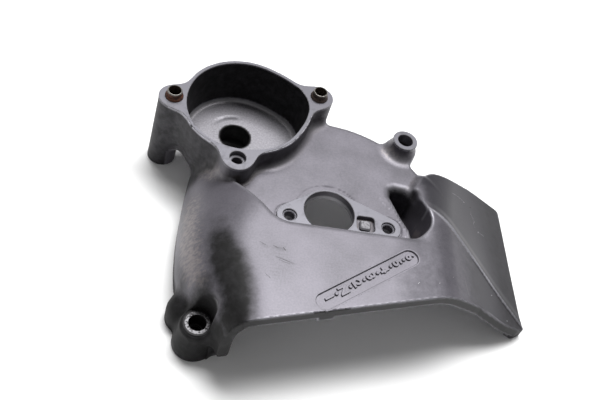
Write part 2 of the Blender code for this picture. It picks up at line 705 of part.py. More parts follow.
def cutters():
    """Return the cutters that are worked into the joined casting."""
    pad_top = PLATE_TOP + PAD_RISE
    made = [cup_cavity(), prism("pocket", pocket_plan(), POCKET_FLOOR, ROOF_TOP + SLACK)]
    made.append(turned("clutch bore", (0.0, 0.0), [
        (0.5 * BORE_DIAMETER, 0.0), (0.5 * BORE_DIAMETER, pad_top + SLACK)], 64))
    made.append(turned("cup hole", CUP_HOLE_PLACE, [
        (0.5 * CUP_HOLE_DIAMETER, 0.0), (0.5 * CUP_HOLE_DIAMETER, CUP_FLOOR_TOP - 0.0015),
        (0.5 * CUP_HOLE_DIAMETER + 0.0015, CUP_FLOOR_TOP + 0.0001)]))
    made.append(seat_hole("left seat", LEFT_BOSS, CUP_RIM_TOP, -BELOW))
    made.append(seat_hole("right seat", RIGHT_BOSS, CUP_RIM_TOP, -BELOW))
    made.append(seat_hole("front seat", FRONT_BOSS, CUP_RIM_TOP, 0.5 * PLATE_TOP))
    made.append(seat_hole("post seat", POST_PLACE, POST_TOP, -BELOW))
    made.append(seat_hole("lug seat", LUG_PLACE, LUG_TOP + LUG_RING_RISE, -BELOW))
    for index, place in enumerate(pad_holes()):
        made.append(turned(f"pad hole {index}", place, [
            (0.5 * PAD_HOLE_DIAMETER, 0.0),
            (0.5 * PAD_HOLE_DIAMETER, pad_top - 0.5 * (PAD_HOLE_MOUTH - PAD_HOLE_DIAMETER)),
            (0.5 * PAD_HOLE_MOUTH, pad_top), (0.5 * PAD_HOLE_MOUTH, pad_top + SLACK)], 24))
    recess = prism("square recess", square_outline(SQUARE_RECESS_PLACE, SQUARE_RECESS),
                   pad_top - SQUARE_RECESS_DEPTH, pad_top + SLACK)
    raised = prism("square boss", square_outline(SQUARE_RECESS_PLACE, SQUARE_BOSS),
                   0.0, pad_top - 0.4 * SQUARE_RECESS_DEPTH)
    made.append(combine(recess, raised, "DIFFERENCE"))
    made.append(prism("slot", slot_outline(SLOT_LENGTH, SLOT_WIDTH), ROOF_TOP - SLOT_DEPTH,
                      ROOF_TOP + SLACK))
    return made


def cover_casting():
    """Return the casting."""
    casting = envelope_block()
    casting.name = "cover_casting"
    combine(casting, chamber(), "DIFFERENCE")
    combine(casting, skirt_window(), "DIFFERENCE")
    combine(casting, jamb_relief(), "DIFFERENCE")
    for part in (cup_body(), pad(), post(), lug()):
        combine(casting, part, "UNION")
    for cutter in cutters():
        combine(casting, cutter, "DIFFERENCE")
    casting.data.materials.append(metal("painted alloy casting", (0.30, 0.30, 0.33), 0.45))
    return casting


def dowel_sleeve(name, place, colour):
    """Return one hollow dowel sleeve in its seat."""
    top = CUP_RIM_TOP + DOWEL_PROUD
    bottom = top - DOWEL_LENGTH
    outer = 0.5 * DOWEL_OUTER
    inner = 0.5 * DOWEL_INNER
    section = [(inner, bottom), (outer - DOWEL_CHAMFER, bottom), (outer, bottom + DOWEL_CHAMFER),
               (outer, top - DOWEL_CHAMFER), (outer - DOWEL_CHAMFER, top), (inner, top)]
    loops = [at_height(circle(place, radius), height) for radius, height in section]
    count = len(loops[0])
    points = [point for loop in loops for point in loop]
    faces = []
    for level in range(len(loops)):
        low = level * count
        high = (level + 1) % len(loops) * count
        for index in range(count):
            after = (index + 1) % count
            faces.append((low + index, low + after, high + after, high + index))
    sleeve = solid(name, points, faces)
    sleeve.data.materials.append(metal(name + " steel", colour, 0.5))
    return sleeve


def finish_shading(made):
    """Shade round faces smooth and keep the sharp edges."""
    made.data.shade_smooth()
    made.data.set_sharp_from_angle(angle=math.radians(30.0))


def place_on_origin(parts, carrier):
    """Move the parts so that the origin is at the middle of the carrier's underside."""
    shape = bmesh.new()
    shape.from_object(carrier, bpy.context.evaluated_depsgraph_get())
    xs = [vertex.co.x for vertex in shape.verts]
    ys = [vertex.co.y for vertex in shape.verts]
    zs = [vertex.co.z for vertex in shape.verts]
    shape.free()
    shift = Vector((-0.5 * (min(xs) + max(xs)), -0.5 * (min(ys) + max(ys)), -min(zs)))
    for item in parts:
        item.location = item.location + shift


def main():
    """Build the cover."""
    clear_scene()
    casting = cover_casting()
    left = dowel_sleeve("dowel_sleeve_left", LEFT_BOSS, (0.26, 0.12, 0.07))
    right = dowel_sleeve("dowel_sleeve_right", RIGHT_BOSS, (0.16, 0.10, 0.08))
    for made in (casting, left, right):
        finish_shading(made)
    place_on_origin(list(bpy.data.objects), casting)


main()
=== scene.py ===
"""Motorcycle sprocket cover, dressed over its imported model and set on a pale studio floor.

The casting is grown from a signed distance field, so that its walls, bosses and fillets run into
each other as they do in a die casting. The faces that a cutter has been over are separate crisp
pieces that lie in the casting. Sizes are in millimetres; plan places are measured from the axis
of the clutch bore and heights from the mounting plane.
"""
from __future__ import annotations

import logging
import math
from dataclasses import dataclass, field
from enum import Enum
from functools import reduce

import bmesh
import bpy
import numpy as np
from mathutils import Matrix, Vector
from mathutils.bvhtree import BVHTree
from mathutils.geometry import tessellate_polygon

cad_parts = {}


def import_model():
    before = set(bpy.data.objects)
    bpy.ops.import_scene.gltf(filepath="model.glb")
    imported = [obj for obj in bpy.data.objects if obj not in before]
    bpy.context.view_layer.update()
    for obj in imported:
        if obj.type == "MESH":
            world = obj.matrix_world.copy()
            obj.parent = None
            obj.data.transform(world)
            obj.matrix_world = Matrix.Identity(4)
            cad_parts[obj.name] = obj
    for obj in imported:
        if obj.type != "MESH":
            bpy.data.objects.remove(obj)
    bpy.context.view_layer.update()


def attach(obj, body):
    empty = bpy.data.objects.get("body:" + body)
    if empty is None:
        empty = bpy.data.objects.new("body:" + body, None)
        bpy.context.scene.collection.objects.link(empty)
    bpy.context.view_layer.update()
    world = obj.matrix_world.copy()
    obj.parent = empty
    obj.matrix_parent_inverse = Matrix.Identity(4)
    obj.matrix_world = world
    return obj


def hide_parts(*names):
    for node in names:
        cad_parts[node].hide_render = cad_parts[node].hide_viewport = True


LOG = logging.getLogger("sprocket_cover")
MM = 0.001
ROOT = "root"
PLAN_SHIFT = (-12.0, -6.3881)

Array = np.ndarray
Place = tuple[float, float]
Line = tuple[Place, ...]
Outline = list[Place]
Rounds = list[tuple[Place, float]]
Trail = tuple[tuple[float, float, float, float, float], ...]
Colour = tuple[float, float, float, float]
Tree = bpy.types.NodeTree
Socket = bpy.types.NodeSocket
Coats = tuple[bpy.types.Material, ...]


class Slot(Enum):
    """The record's material slots."""

    CASTING = "casting"
    RUSTY_DOWEL = "rusty_dowel"
    DARK_DOWEL = "dark_dowel"


# Shapes that several pieces share.

@dataclass(frozen=True)
class Points:
    """Points in space, as one array of millimetres for each axis."""

    x: Array
    y: Array
    z: Array

    def gap(self, axis: Place) -> Array:
        """Measure how far the points stand from an upright axis."""
        return np.hypot(self.x - axis[0], self.y - axis[1])

    def among(self, near: Array) -> Points:
        """Keep the points that a mask picks out."""
        return Points(self.x[near], self.y[near], self.z[near])


def smooth_min(first: Array, second: Array, reach: float | Array) -> Array:
    """Join two distances with a fillet.

    Args:
        first: Distances to one form.
        second: Distances to the other.
        reach: How far apart the two may be where they still blend.

    Returns:
        Distances to the joined form.
    """
    share = np.maximum(reach - np.abs(first - second), 0.0) / reach
    return np.minimum(first, second) - share * share * reach * 0.25


def smooth_max(first: Array, second: Array, reach: float | Array) -> Array:
    """Keep what two forms share, with the edge between them rounded."""
    return -smooth_min(-first, -second, reach)


def overlap(*parts: Array) -> Array:
    """Keep what all the forms share, with sharp edges."""
    return reduce(np.maximum, parts)


def ramp(value: Array, low: float, high: float) -> Array:
    """Rise smoothly from 0 at low to 1 at high."""
    part = np.clip((value - low) / (high - low), 0.0, 1.0)
    return part * part * (3.0 - 2.0 * part)


def read_line(line: Line, at: Array) -> Array:
    """Read the value of a broken line, given as (place, value), at places."""
    places, values = zip(*line)
    return np.interp(at, places, values)


def polar(centre: Place, reach: float, angle: float) -> Place:
    """Give the place that stands at a reach and an angle in degrees from a centre."""
    way = math.radians(angle)
    return centre[0] + reach * math.cos(way), centre[1] + reach * math.sin(way)


def arc_points(centre: Place, radius: float, start: float, end: float, steps: int) -> Outline:
    """Place points on an arc between two angles in degrees, one more than its chords."""
    return [polar(centre, radius, start + (end - start) * step / steps)
            for step in range(steps + 1)]


def circle_points(centre: Place, radius: float, sides: int = 48) -> Outline:
    """Place points round a full circle."""
    return arc_points(centre, radius, 0.0, 360.0, sides)[:-1]


def outline_distance(at: Points, outline: Outline) -> Array:
    """Measure the signed distance from points to a closed outline, negative inside.

    Args:
        at: The points.
        outline: The outline's corners.

    Returns:
        One distance for each point.
    """
    nearest = np.full(at.x.shape, 1e12)
    inside = np.zeros(at.x.shape, dtype=bool)
    for index, (ax, ay) in enumerate(outline):
        bx, by = outline[index - 1]
        ex, ey = bx - ax, by - ay
        wx, wy = at.x - ax, at.y - ay
        along = np.clip((wx * ex + wy * ey) / (ex * ex + ey * ey), 0.0, 1.0)
        gap = (wx - ex * along) ** 2 + (wy - ey * along) ** 2
        nearest = np.minimum(nearest, gap)
        crosses = (ay > at.y) != (by > at.y)
        if ey != 0.0:
            inside ^= crosses & (at.x < ex * (at.y - ay) / ey + ax)
    return np.where(inside, -1.0, 1.0) * np.sqrt(nearest)


def blended_distance(at: Points, rounds: Rounds, growth: float | Array, reach: float) -> Array:
    """Measure the distance to an outline that is blended between rounds.

    Args:
        at: The points.
        rounds: Centres and radii.
        growth: What is added to each radius.
        reach: The blend between neighbours.

    Returns:
        One distance for each point.
    """
    distance = np.full(np.shape(at.x), 1000.0)
    for centre, radius in rounds:
        distance = smooth_min(distance, at.gap(centre) - radius - growth, reach)
    return distance


@dataclass(frozen=True)
class CoverSizes:
    """The sizes of the cover that its pieces share, as in its construction."""

    wall: float = 4.0
    lip: float = 7.0
    lip_width: float = 5.0
    roof_top: float = 55.0
    plate_top: float = 41.2
    plate_radius: float = 74.0
    pad_top: float = 43.0
    rim_top: float = 56.0
    cup_floor: float = 22.0
    cup_floor_thickness: float = 4.2
    skirt_bottom: float = 27.0
    skirt_radius: float = 64.0
    wall_foot: float = 0.3
    slope_start: float = 61.5
    slope_fall: float = 0.66
    slope_delay: float = 5.0
    bend_radius: float = 32.0
    body_back: float = 41.0
    step_line: float = -19.3
    rib_middle: float = -5.0
    rib_half: float = 5.0
    rib_low: float = 45.5
    rib_end: float = -15.0
    bore_radius: float = 15.65
    collar_low: float = 35.6
    pad_bed: float = 40.0
    pad_lobe_radius: float = 8.0
    pad_holes: Line = ((-24.2, -6.0), (36.6, -6.0))
    pad_hole_radius: float = 3.2
    stub_radius: float = 7.2
    stub_low: float = 28.6
    recess_place: Place = (22.6, -5.2)
    recess_side: float = 11.2
    recess_corner: float = 2.4
    cup_centre: Place = (-55.2, 65.3)
    cup_radius: float = 36.0
    cup_corner_reach: float = 24.0
    cup_corner_angle: float = 19.0
    cup_corner_radius: float = 14.0
    cup_bulge_reach: float = 13.4
    cup_bulge_angle: float = 225.0
    cup_bulge_radius: float = 20.0
    hollow_growth: float = 0.7
    cup_draft: float = 1.2
    cup_draft_depth: float = 34.0
    cup_wall: float = 2.6
    cup_hole: Place = (-57.1, 68.1)
    cup_hole_radius: float = 9.5
    guide_wall: float = 2.8
    guide_low: float = 1.6
    guide_high: float = 19.0
    ledge_width: float = 3.4
    ledge_low: float = 7.0
    ledge_high: float = 8.4
    rim_blend: float = 13.0
    rim_chip: Place = (-86.4, 41.4)
    rim_chip_radius: float = 1.9
    boss_radius: float = 9.4
    boss_lean: float = 2.4
    left_boss: Place = (-100.3, 62.7)
    right_boss: Place = (-8.4, 82.5)
    front_boss: Place = (-58.8, 20.8)
    seat_radius: float = 5.0
    seat_depth: float = 9.3
    bolt_radius: float = 3.3
    post: Place = (50.3, 61.3)
    post_top: float = 51.0
    post_radius: float = 8.1
    lug: Place = (-71.3, -74.2)
    lug_top: float = 22.5
    lug_face_top: float = 23.1
    lug_foot_radius: float = 12.0
    lug_ring_radius: float = 8.0
    lump: Place = (-78.0, -59.0)
    lump_radius: float = 10.6
    lump_top: float = 20.0
    pocket_floor: float = 18.0
    boot_wall: float = 3.0
    boot_back_wall: float = 6.0
    slot_start: Place = (-6.9, -70.5)
    slot_length: float = 62.2
    slot_width: float = 10.2
    slot_angle: float = 35.3
    slot_depth: float = 1.0

    def cup_rounds(self, growth: float = 0.0) -> Rounds:
        """Give the rounds that the cup's hollow is blended from.

        Args:
            growth: What is added to each radius.

        Returns:
            Centres and radii.
        """
        corner = polar(self.cup_centre, self.cup_corner_reach, self.cup_corner_angle)
        bulge = polar(self.cup_centre, self.cup_bulge_reach, self.cup_bulge_angle)
        return [(self.cup_centre, self.cup_radius + growth),
                (corner, self.cup_corner_radius + growth),
                (bulge, self.cup_bulge_radius + growth)]

    def rim_rounds(self) -> Rounds:
        """Give the rounds of the rim's outer edge, its three bosses included."""
        bosses = (self.left_boss, self.right_boss, self.front_boss)
        return self.cup_rounds(self.cup_wall) + [(boss, self.boss_radius) for boss in bosses]

    def pocket_outline(self) -> Outline:
        """Give the outline of the pocket between the pad and the fin.

        Returns:
            The outline's corners.
        """
        left = [(41.6, 25.6), (41.0, 20.5), (42.2, 13.7), (46.0, 4.4), (50.6, -4.5)]
        nose = arc_points((44.5, -2.3), 16.0, -62.0, 0.0, 8)
        back = [(57.5, 12.0), (54.5, 23.0), (50.0, 26.2), (44.0, 26.8)]
        return left + nose + back

    def slot_end(self) -> Place:
        """Give the far centre of the gear pattern's slot."""
        return polar(self.slot_start, self.slot_length, self.slot_angle)


@dataclass(frozen=True)
class Knock:
    """A place where the rim's inner edge has been knocked away."""

    turn: float
    width: float
    depth: float


RIM_KNOCKS = (Knock(0.50, 0.09, 1.3), Knock(0.30, 0.08, 1.0), Knock(0.12, 0.06, 0.8),
              Knock(0.62, 0.03, 1.4), Knock(3.79, 0.025, 2.2))


def rim_outline(sizes: CoverSizes, rounds: Rounds, growth: float, sides: int,
                knock: float = 0.0) -> Outline:
    """Trace an outline blended between rounds along rays from the cup's axis.

    Args:
        sizes: The cover's sizes.
        rounds: Centres and radii.
        growth: What is added to each radius.
        sides: How many rays there are.
        knock: How much of the knocks in the edge shows.

    Returns:
        The outline's corners, anticlockwise.
    """
    turn = np.arange(sides) * 2.0 * math.pi / sides
    way_x, way_y = np.cos(turn), np.sin(turn)
    near = np.full(sides, 0.5 * sizes.cup_radius)
    far = np.full(sides, sizes.cup_radius + 4.0 * sizes.boss_radius)
    for _ in range(28):
        middle = 0.5 * (near + far)
        at = Points(sizes.cup_centre[0] + way_x * middle, sizes.cup_centre[1] + way_y * middle,
                    middle)
        inside = blended_distance(at, rounds, growth, sizes.rim_blend) < 0.0
        near = np.where(inside, middle, near)
        far = np.where(inside, far, middle)
    if knock:
        for place in RIM_KNOCKS:
            off = (turn - place.turn + math.pi) % (2.0 * math.pi) - math.pi
            rough = 0.6 + 0.4 * np.sin(turn * 97.0) * np.sin(turn * 61.0 + 1.0)
            near = near + knock * place.depth * rough * np.exp(-(off / place.width) ** 2)
    return [(float(a), float(b)) for a, b in zip(sizes.cup_centre[0] + way_x * near,
                                                 sizes.cup_centre[1] + way_y * near)]


@dataclass(frozen=True)
class CastingForm:
    """The casting as a signed distance field, negative in the metal.

    Each part is worked out only near it, in a window a little wider than the part and its blend.
    """

    sizes: CoverSizes
    left_wall: Line = ((41.0, -82.8), (15.0, -85.5), (-18.0, -86.8), (-48.0, -83.5),
                       (-70.0, -71.5), (-91.0, -59.0), (-120.0, -48.0))
    shoulder_end: Line = ((41.0, -15.0), (15.0, -24.0), (-18.0, -42.0), (-48.0, -47.0),
                          (-70.0, -46.0), (-91.0, -44.8), (-120.0, -44.0))
    shoulder_foot: Line = ((41.0, 8.0), (15.0, 10.0), (-18.0, 14.0), (-48.0, 19.0),
                           (-70.0, 25.0), (-91.0, 30.0), (-120.0, 33.0))
    track_steps: int = 8
    front_line: Line = ((-120.0, -107.35), (93.0, -50.3), (104.0, -49.8), (118.0, -48.8),
                        (129.0, -46.4), (134.5, -43.2))
    front_scale: float = 0.966
    ridge_start: Place = (66.6, 0.8)
    ridge_way: Place = (0.8376, -0.5461)
    ridge_rise: float = 0.8
    fin_far: Line = ((64.8, 45.0), (71.5, 47.2), (86.0, 48.6), (104.0, 53.0), (129.7, 56.0),
                     (134.0, 56.2))
    fin_right: Line = ((-43.0, 134.0), (-40.0, 134.0), (8.0, 134.8), (54.0, 136.0))
    fin_left: float = 54.5
    fin_root: Place = (57.5, 12.0)
    fin_root_height: float = 52.2
    fin_root_slope: Place = (0.302, -0.383)
    probe: float = 0.04

    def smooth_track(self, stations: Line, y: Array) -> Array:
        """Read a smooth curve through (place, value) stations that run from high to low.

        Args:
            stations: The stations.
            y: The places to read it at.

        Returns:
            One value for each place.
        """
        places, values = zip(*stations)
        dense: Outline = []
        for index in range(len(places) - 1):
            before, after = max(index - 1, 0), min(index + 2, len(places) - 1)
            span = places[index + 1] - places[index]
            start = (values[index + 1] - values[before]) / (places[index + 1] - places[before])
            end = (values[after] - values[index]) / (places[after] - places[index])
            for step in range(self.track_steps):
                part = step / self.track_steps
                square, cube = part * part, part * part * part
                value = (values[index] * (2 * cube - 3 * square + 1)
                         + start * span * (cube - 2 * square + part)
                         + values[index + 1] * (3 * square - 2 * cube)
                         + end * span * (cube - square))
                dense.append((places[index] + span * part, value))
        dense.append(stations[-1])
        return read_line(tuple(dense[::-1]), y)

    def front(self, at: Points) -> Array:
        """Measure how far points stand ahead of the open front edge."""
        return (read_line(self.front_line, at.x) - at.y) * self.front_scale

    def ridge_side(self, at: Points) -> Array:
        """Measure how far points stand on the fin's side of the ridge."""
        return (at.x - self.ridge_start[0]) * -self.ridge_way[1] + (
            at.y - self.ridge_start[1]) * self.ridge_way[0]

    def slope_run(self, x: Array) -> Array:
        """Give how far down the slope a place is, which starts gently and catches up."""
        run = x - self.sizes.slope_start
        return run - self.sizes.slope_delay * (1.0 - ramp(run, 12.0, 60.0))

    def roof(self, at: Points) -> Array:
        """Measure the distance to the roof, its broad left shoulder and its right slope.

        Args:
            at: The points.

        Returns:
            One distance for each point.
        """
        s = self.sizes
        left = self.smooth_track(self.left_wall, at.y)
        shoulder = self.smooth_track(self.shoulder_end, at.y)
        foot = self.smooth_track(self.shoulder_foot, at.y)
        wide, high = shoulder - left, s.roof_top - foot
        across = np.maximum(shoulder - at.x, 0.0) / wide
        up = np.maximum(at.z - foot, 0.0) / high
        reach = np.sqrt(across * across + up * up)
        slope = np.sqrt((across / wide) ** 2 + (up / high) ** 2)
        shoulder_gap = np.where(reach < 1e-4, -high, reach * (reach - 1.0) / (slope + 1e-9))
        tilt = math.atan(s.slope_fall)
        lead = s.bend_radius * math.tan(0.5 * tilt)
        u, w = self.slope_run(at.x) + lead, at.z - (s.roof_top - s.bend_radius)
        plane = w * math.cos(tilt) + u * math.sin(tilt) - s.bend_radius
        bend = np.where(u * math.cos(tilt) - w * math.sin(tilt) > 0.0, plane,
                        np.hypot(u, w) - s.bend_radius)
        return np.maximum(shoulder_gap, np.where(u <= 0.0, at.z - s.roof_top, bend))

    def step_side(self, at: Points) -> Array:
        """Measure how far points stand behind the roof's back edge.

        Args:
            at: The points.

        Returns:
            One distance for each point.
        """
        back = at.y - self.sizes.step_line
        slant = (at.x + 64.0) * 0.755 + (at.y - 17.0) * 0.656
        beside = at.x + 64.0
        crest = overlap(54.0 - at.x, at.y - 8.5, self.ridge_side(at) - 1.0)
        joined = smooth_min(smooth_min(back, slant, 6.5), beside, 3.0)
        return smooth_min(joined, crest, 9.0)

    def fin(self, at: Points) -> Array:
        """Measure the distance to the fin, with its sides going straight down.

        Args:
            at: The points.

        Returns:
            One distance for each point.
        """
        s = self.sizes
        side = self.ridge_side(at)
        tilt = 0.07 + 0.11 * (1.0 - ramp(at.x, 60.0, 118.0))
        rise = self.ridge_rise * (1.0 - ramp(side, 2.0, 9.0))
        top = (s.roof_top - s.slope_fall * self.slope_run(at.x) + rise
               - tilt * np.maximum(side, 0.0))
        facet = (at.z - top) * 0.83
        root = (self.fin_root_height + self.fin_root_slope[0] * (at.x - self.fin_root[0])
                + self.fin_root_slope[1] * (at.y - self.fin_root[1]))
        facet = smooth_max(facet, (at.z - root) * 0.9, 14.0)
        corner = (at.x - 56.5) * -0.865 + (at.y - 30.0) * 0.502
        edge = smooth_max(at.y - read_line(self.fin_far, at.x), corner, 6.0)
        edge = smooth_max(edge, at.x - read_line(self.fin_right, at.y), 2.4)
        return smooth_max(facet, overlap(edge, self.fin_left - at.x, -side - 0.4), 2.2)

    def plate(self, at: Points) -> Array:
        """Measure the distance to the plate round the clutch bore.

        Args:
            at: The points.

        Returns:
            One distance for each point.
        """
        s = self.sizes
        corner = (at.x - 64.8) * 0.785 + (at.y - 44.3) * 0.62
        side = smooth_max(np.hypot(at.x, at.y) - s.plate_radius, corner - 3.5, 4.0)
        side = smooth_min(side, at.gap(s.post) - 7.0, 10.0)
        side = np.maximum(side, -62.0 - at.x)
        return smooth_max(at.z - s.plate_top, side, 2.2)

    def envelope(self, at: Points) -> Array:
        """Measure the distance to the outer form, open downwards and to the front.

        Args:
            at: The points.

        Returns:
            One distance for each point.
        """
        body = smooth_max(self.roof(at), self.step_side(at), 3.4)
        body = smooth_max(body, at.y - self.sizes.body_back, 4.0)
        body = np.maximum(body, self.ridge_side(at) - 0.2)
        return smooth_min(smooth_min(body, self.fin(at), 1.2), self.plate(at), 4.5)

    def draft(self, z: Array) -> Array:
        """Give how much the cup's walls draw in towards its floor."""
        s = self.sizes
        return -s.cup_draft * np.clip((s.rim_top - z) / s.cup_draft_depth, 0.0, 1.0)

    def cup(self, at: Points) -> Array:
        """Measure the distance to the cup and its bosses as a solid block.

        Args:
            at: The points.

        Returns:
            One distance for each point.
        """
        s = self.sizes
        wall = s.cup_rounds(s.cup_wall)
        side = blended_distance(at, wall, self.draft(at.z), s.rim_blend)
        lower = smooth_max(side, s.cup_floor - s.cup_floor_thickness - at.z, 5.0)
        lobes = [(s.right_boss, s.boss_radius), (s.front_boss, s.boss_radius)]
        upper_side = blended_distance(at, wall + lobes, 0.0, s.rim_blend)
        upper = smooth_max(upper_side, s.skirt_bottom + s.wall_foot - at.z, 3.0)
        joined = smooth_min(lower, upper, 2.0)
        lean = s.boss_lean * np.clip(1.0 - at.z / 50.0, 0.0, 1.0)
        boss = np.hypot(at.x - s.left_boss[0] + lean, at.y - s.left_boss[1])
        boss = boss - s.boss_radius + 0.4 * (1.0 - ramp(at.z, 0.0, 50.0))
        web = 1.0 + (s.rim_blend - 1.0) * ramp(at.z, 1.0, 22.0)
        return np.maximum(smooth_min(joined, boss, web), at.z - s.rim_top + 0.4)

    def hollow(self, at: Points) -> Array:
        """Measure the distance to the cup's hollow, with a shallow dent in its floor.

        Args:
            at: The points.

        Returns:
            One distance for each point.
        """
        s = self.sizes
        side = blended_distance(at, s.cup_rounds(s.hollow_growth), self.draft(at.z), s.rim_blend)
        side = side - 0.25 * ramp(at.z, 20.0, 26.0)
        ring = np.abs(at.gap(s.cup_hole) - 17.0)
        turn = np.abs(np.arctan2(at.y - s.cup_hole[1], at.x - s.cup_hole[0]) - 2.0)
        dent = 0.22 * (1.0 - ramp(ring, 0.0, 2.6)) * (1.0 - ramp(turn, 0.25, 0.7))
        return smooth_max(side, s.cup_floor - dent - at.z, 3.2)

    def shell(self, at: Points) -> Array:
        """Measure the distance to the walls, without what is joined to them.

        Args:
            at: The points.

        Returns:
            One distance for each point.
        """
        s = self.sizes
        outer, front = self.envelope(at), self.front(at)
        thick = s.wall + (s.lip - s.wall) * (1.0 - ramp(-front, 0.6 * s.lip_width, s.lip_width))
        walls = np.maximum(outer, -(outer + thick))
        rib = overlap(np.abs(at.x - s.rib_middle) - s.rib_half, s.rib_low - at.z,
                      at.y - s.rib_end, outer + 3.0)
        walls = smooth_min(walls, rib, 1.0)
        window = overlap(s.skirt_radius - np.hypot(at.x, at.y), at.z - s.skirt_bottom,
                         at.x * 0.53 - at.y * 0.848, -(0.3746 * at.y + 0.9272 * at.x))
        walls = smooth_max(walls, -window, 1.5)
        jamb = overlap(at.y + 80.0 + 0.35 * (at.z - 12.0), at.z - 17.0, at.x + 40.0)
        walls = smooth_max(walls, -jamb, 3.0)
        walls = smooth_max(walls, front, 1.0)
        return np.maximum(walls, s.wall_foot - at.z)

    def hole_ledge(self, z: Array) -> Array:
        """Give how far the guide's inner ledge narrows the cup's hole at a height."""
        s = self.sizes
        return s.ledge_width * (1.0 - ramp(z, s.ledge_low, s.ledge_high))

    def join_cup(self, form: Array, at: Points) -> None:
        """Join the cup, after clearing the walls from below its floor.

        Args:
            form: The distances so far, which it changes.
            at: The points.
        """
        s = self.sizes
        near = (at.x < 22.0) & (at.y > -14.0)
        part = at.among(near)
        under = blended_distance(part, s.cup_rounds(s.cup_wall), -1.5, s.rim_blend)
        cleared = overlap(form[near], -np.maximum(under, part.z - s.cup_floor + 1.0))
        gap = part.gap((s.front_boss[0] + 9.0, s.front_boss[1] - 8.0))
        reach = 2.0 + 4.0 * ramp(gap, 8.0, 24.0)
        form[near] = smooth_min(cleared, self.cup(part), reach)

    def join_stubs(self, form: Array, at: Points) -> None:
        """Join the stubs below the pad's screw holes and the collar round the bore.

        Args:
            form: The distances so far, which it changes.
            at: The points.
        """
        s = self.sizes
        stubs = [(place, s.stub_radius, s.stub_low, 3.0) for place in s.pad_holes]
        stubs.append(((0.0, 0.0), s.bore_radius + s.wall, s.collar_low, 2.0))
        for axis, radius, low, reach in stubs:
            near = at.gap(axis) < radius + 12.0
            part = at.among(near)
            stub = overlap(part.gap(axis) - radius, low - part.z, part.z - s.pad_bed)
            form[near] = smooth_min(form[near], stub, reach)

    def join_guide(self, form: Array, at: Points) -> None:
        """Join the guide tube that hangs below the cup's hole.

        Args:
            form: The distances so far, which it changes.
            at: The points.
        """
        s = self.sizes
        near = at.gap(s.cup_hole) < 26.0
        part = at.among(near)
        off = part.gap(s.cup_hole)
        guide = overlap(off - s.cup_hole_radius - s.guide_wall,
                        s.cup_hole_radius - self.hole_ledge(part.z) - off,
                        s.guide_low - part.z, part.z - s.guide_high)
        form[near] = smooth_min(form[near], guide, 2.0)

    def join_boot(self, form: Array, at: Points) -> None:
        """Join the pocket's own walls, thicker where its back edge is broadly rounded.

        Args:
            form: The distances so far, which it changes.
            at: The points.
        """
        s = self.sizes
        near = (at.x > 22.0) & (at.x < 80.0) & (at.y > -35.0) & (at.y < 45.0)
        part = at.among(near)
        outer = self.envelope(part)
        grown = s.boot_back_wall * ramp(part.y, 8.0, 20.0) * ramp(part.z, 19.0, 27.0)
        boot = outline_distance(part, s.pocket_outline()) - s.boot_wall - grown
        boot = smooth_max(boot, s.pocket_floor - s.boot_wall - part.z, 3.0)
        reach = 0.05 + 2.0 * ramp(-outer, 1.5, 4.0)
        form[near] = smooth_min(form[near], np.maximum(boot, outer), reach)

    def join_post(self, form: Array, at: Points) -> None:
        """Join the post, in a wide fillet.

        Args:
            form: The distances so far, which it changes.
            at: The points.
        """
        s = self.sizes
        near = at.gap(s.post) < 30.0
        part = at.among(near)
        neck = s.post_radius - 0.35 * ramp(-part.z, -50.0, -47.5)
        barrel = np.maximum(part.gap(s.post) - neck, part.z - s.post_top + 0.6)
        form[near] = smooth_min(form[near], barrel, 9.0)

    def join_lug(self, form: Array, at: Points) -> None:
        """Join the lug, the lump beside it and the solid behind the niche over its face.

        Args:
            form: The distances so far, which it changes.
            at: The points.
        """
        s = self.sizes
        near = (at.gap(s.lug) < 38.0) & (at.z < 48.0)
        part = at.among(near)
        off = part.gap(s.lug)
        foot = off - s.lug_foot_radius + 2.2 * ramp(part.z, 2.0, 19.0)
        foot = smooth_max(foot, part.z - s.lug_top, 3.0)
        ring = np.maximum(off - s.lug_ring_radius + 0.6, part.z - s.lug_top)
        lump = smooth_max(part.gap(s.lump) - s.lump_radius, part.z - s.lump_top, 13.0)
        web = overlap(np.abs(part.x + 63.0) - 8.0, np.abs(part.y + 71.0) - 9.0, part.z - 15.0)
        cluster = smooth_min(smooth_min(smooth_min(foot, lump, 4.0), ring, 0.8), web, 6.0)
        behind = np.maximum(off - s.lug_ring_radius - 5.0, self.envelope(part))
        form[near] = np.minimum(smooth_min(form[near], cluster, 6.0), behind)

    def cut_cup(self, form: Array, at: Points) -> None:
        """Cut the cup's hollow and the hole in its floor.

        Args:
            form: The distances so far, which it changes.
            at: The points.
        """
        s = self.sizes
        near = (at.x < -8.0) & (at.y > 20.0)
        part = at.among(near)
        room = smooth_max(form[near], -self.hollow(part), 0.4)
        hole = s.cup_hole_radius + 0.2 - self.hole_ledge(part.z) - part.gap(s.cup_hole)
        form[near] = smooth_max(room, hole, 1.0)

    def cut_pocket(self, form: Array, at: Points) -> None:
        """Cut the pocket, with a sharp rim at the pad and a broad one at its back.

        Args:
            form: The distances so far, which it changes.
            at: The points.
        """
        s = self.sizes
        near = (at.x > 26.0) & (at.x < 76.0) & (at.y > -32.0) & (at.y < 42.0)
        part = at.among(near)
        pocket = smooth_max(outline_distance(part, s.pocket_outline()),
                            s.pocket_floor - part.z, 6.0)
        soft = 1.6 + 4.6 * ramp(part.y, 12.0, 24.0) * ramp(part.z, 27.0, 35.0)
        form[near] = smooth_max(form[near], -pocket, soft)

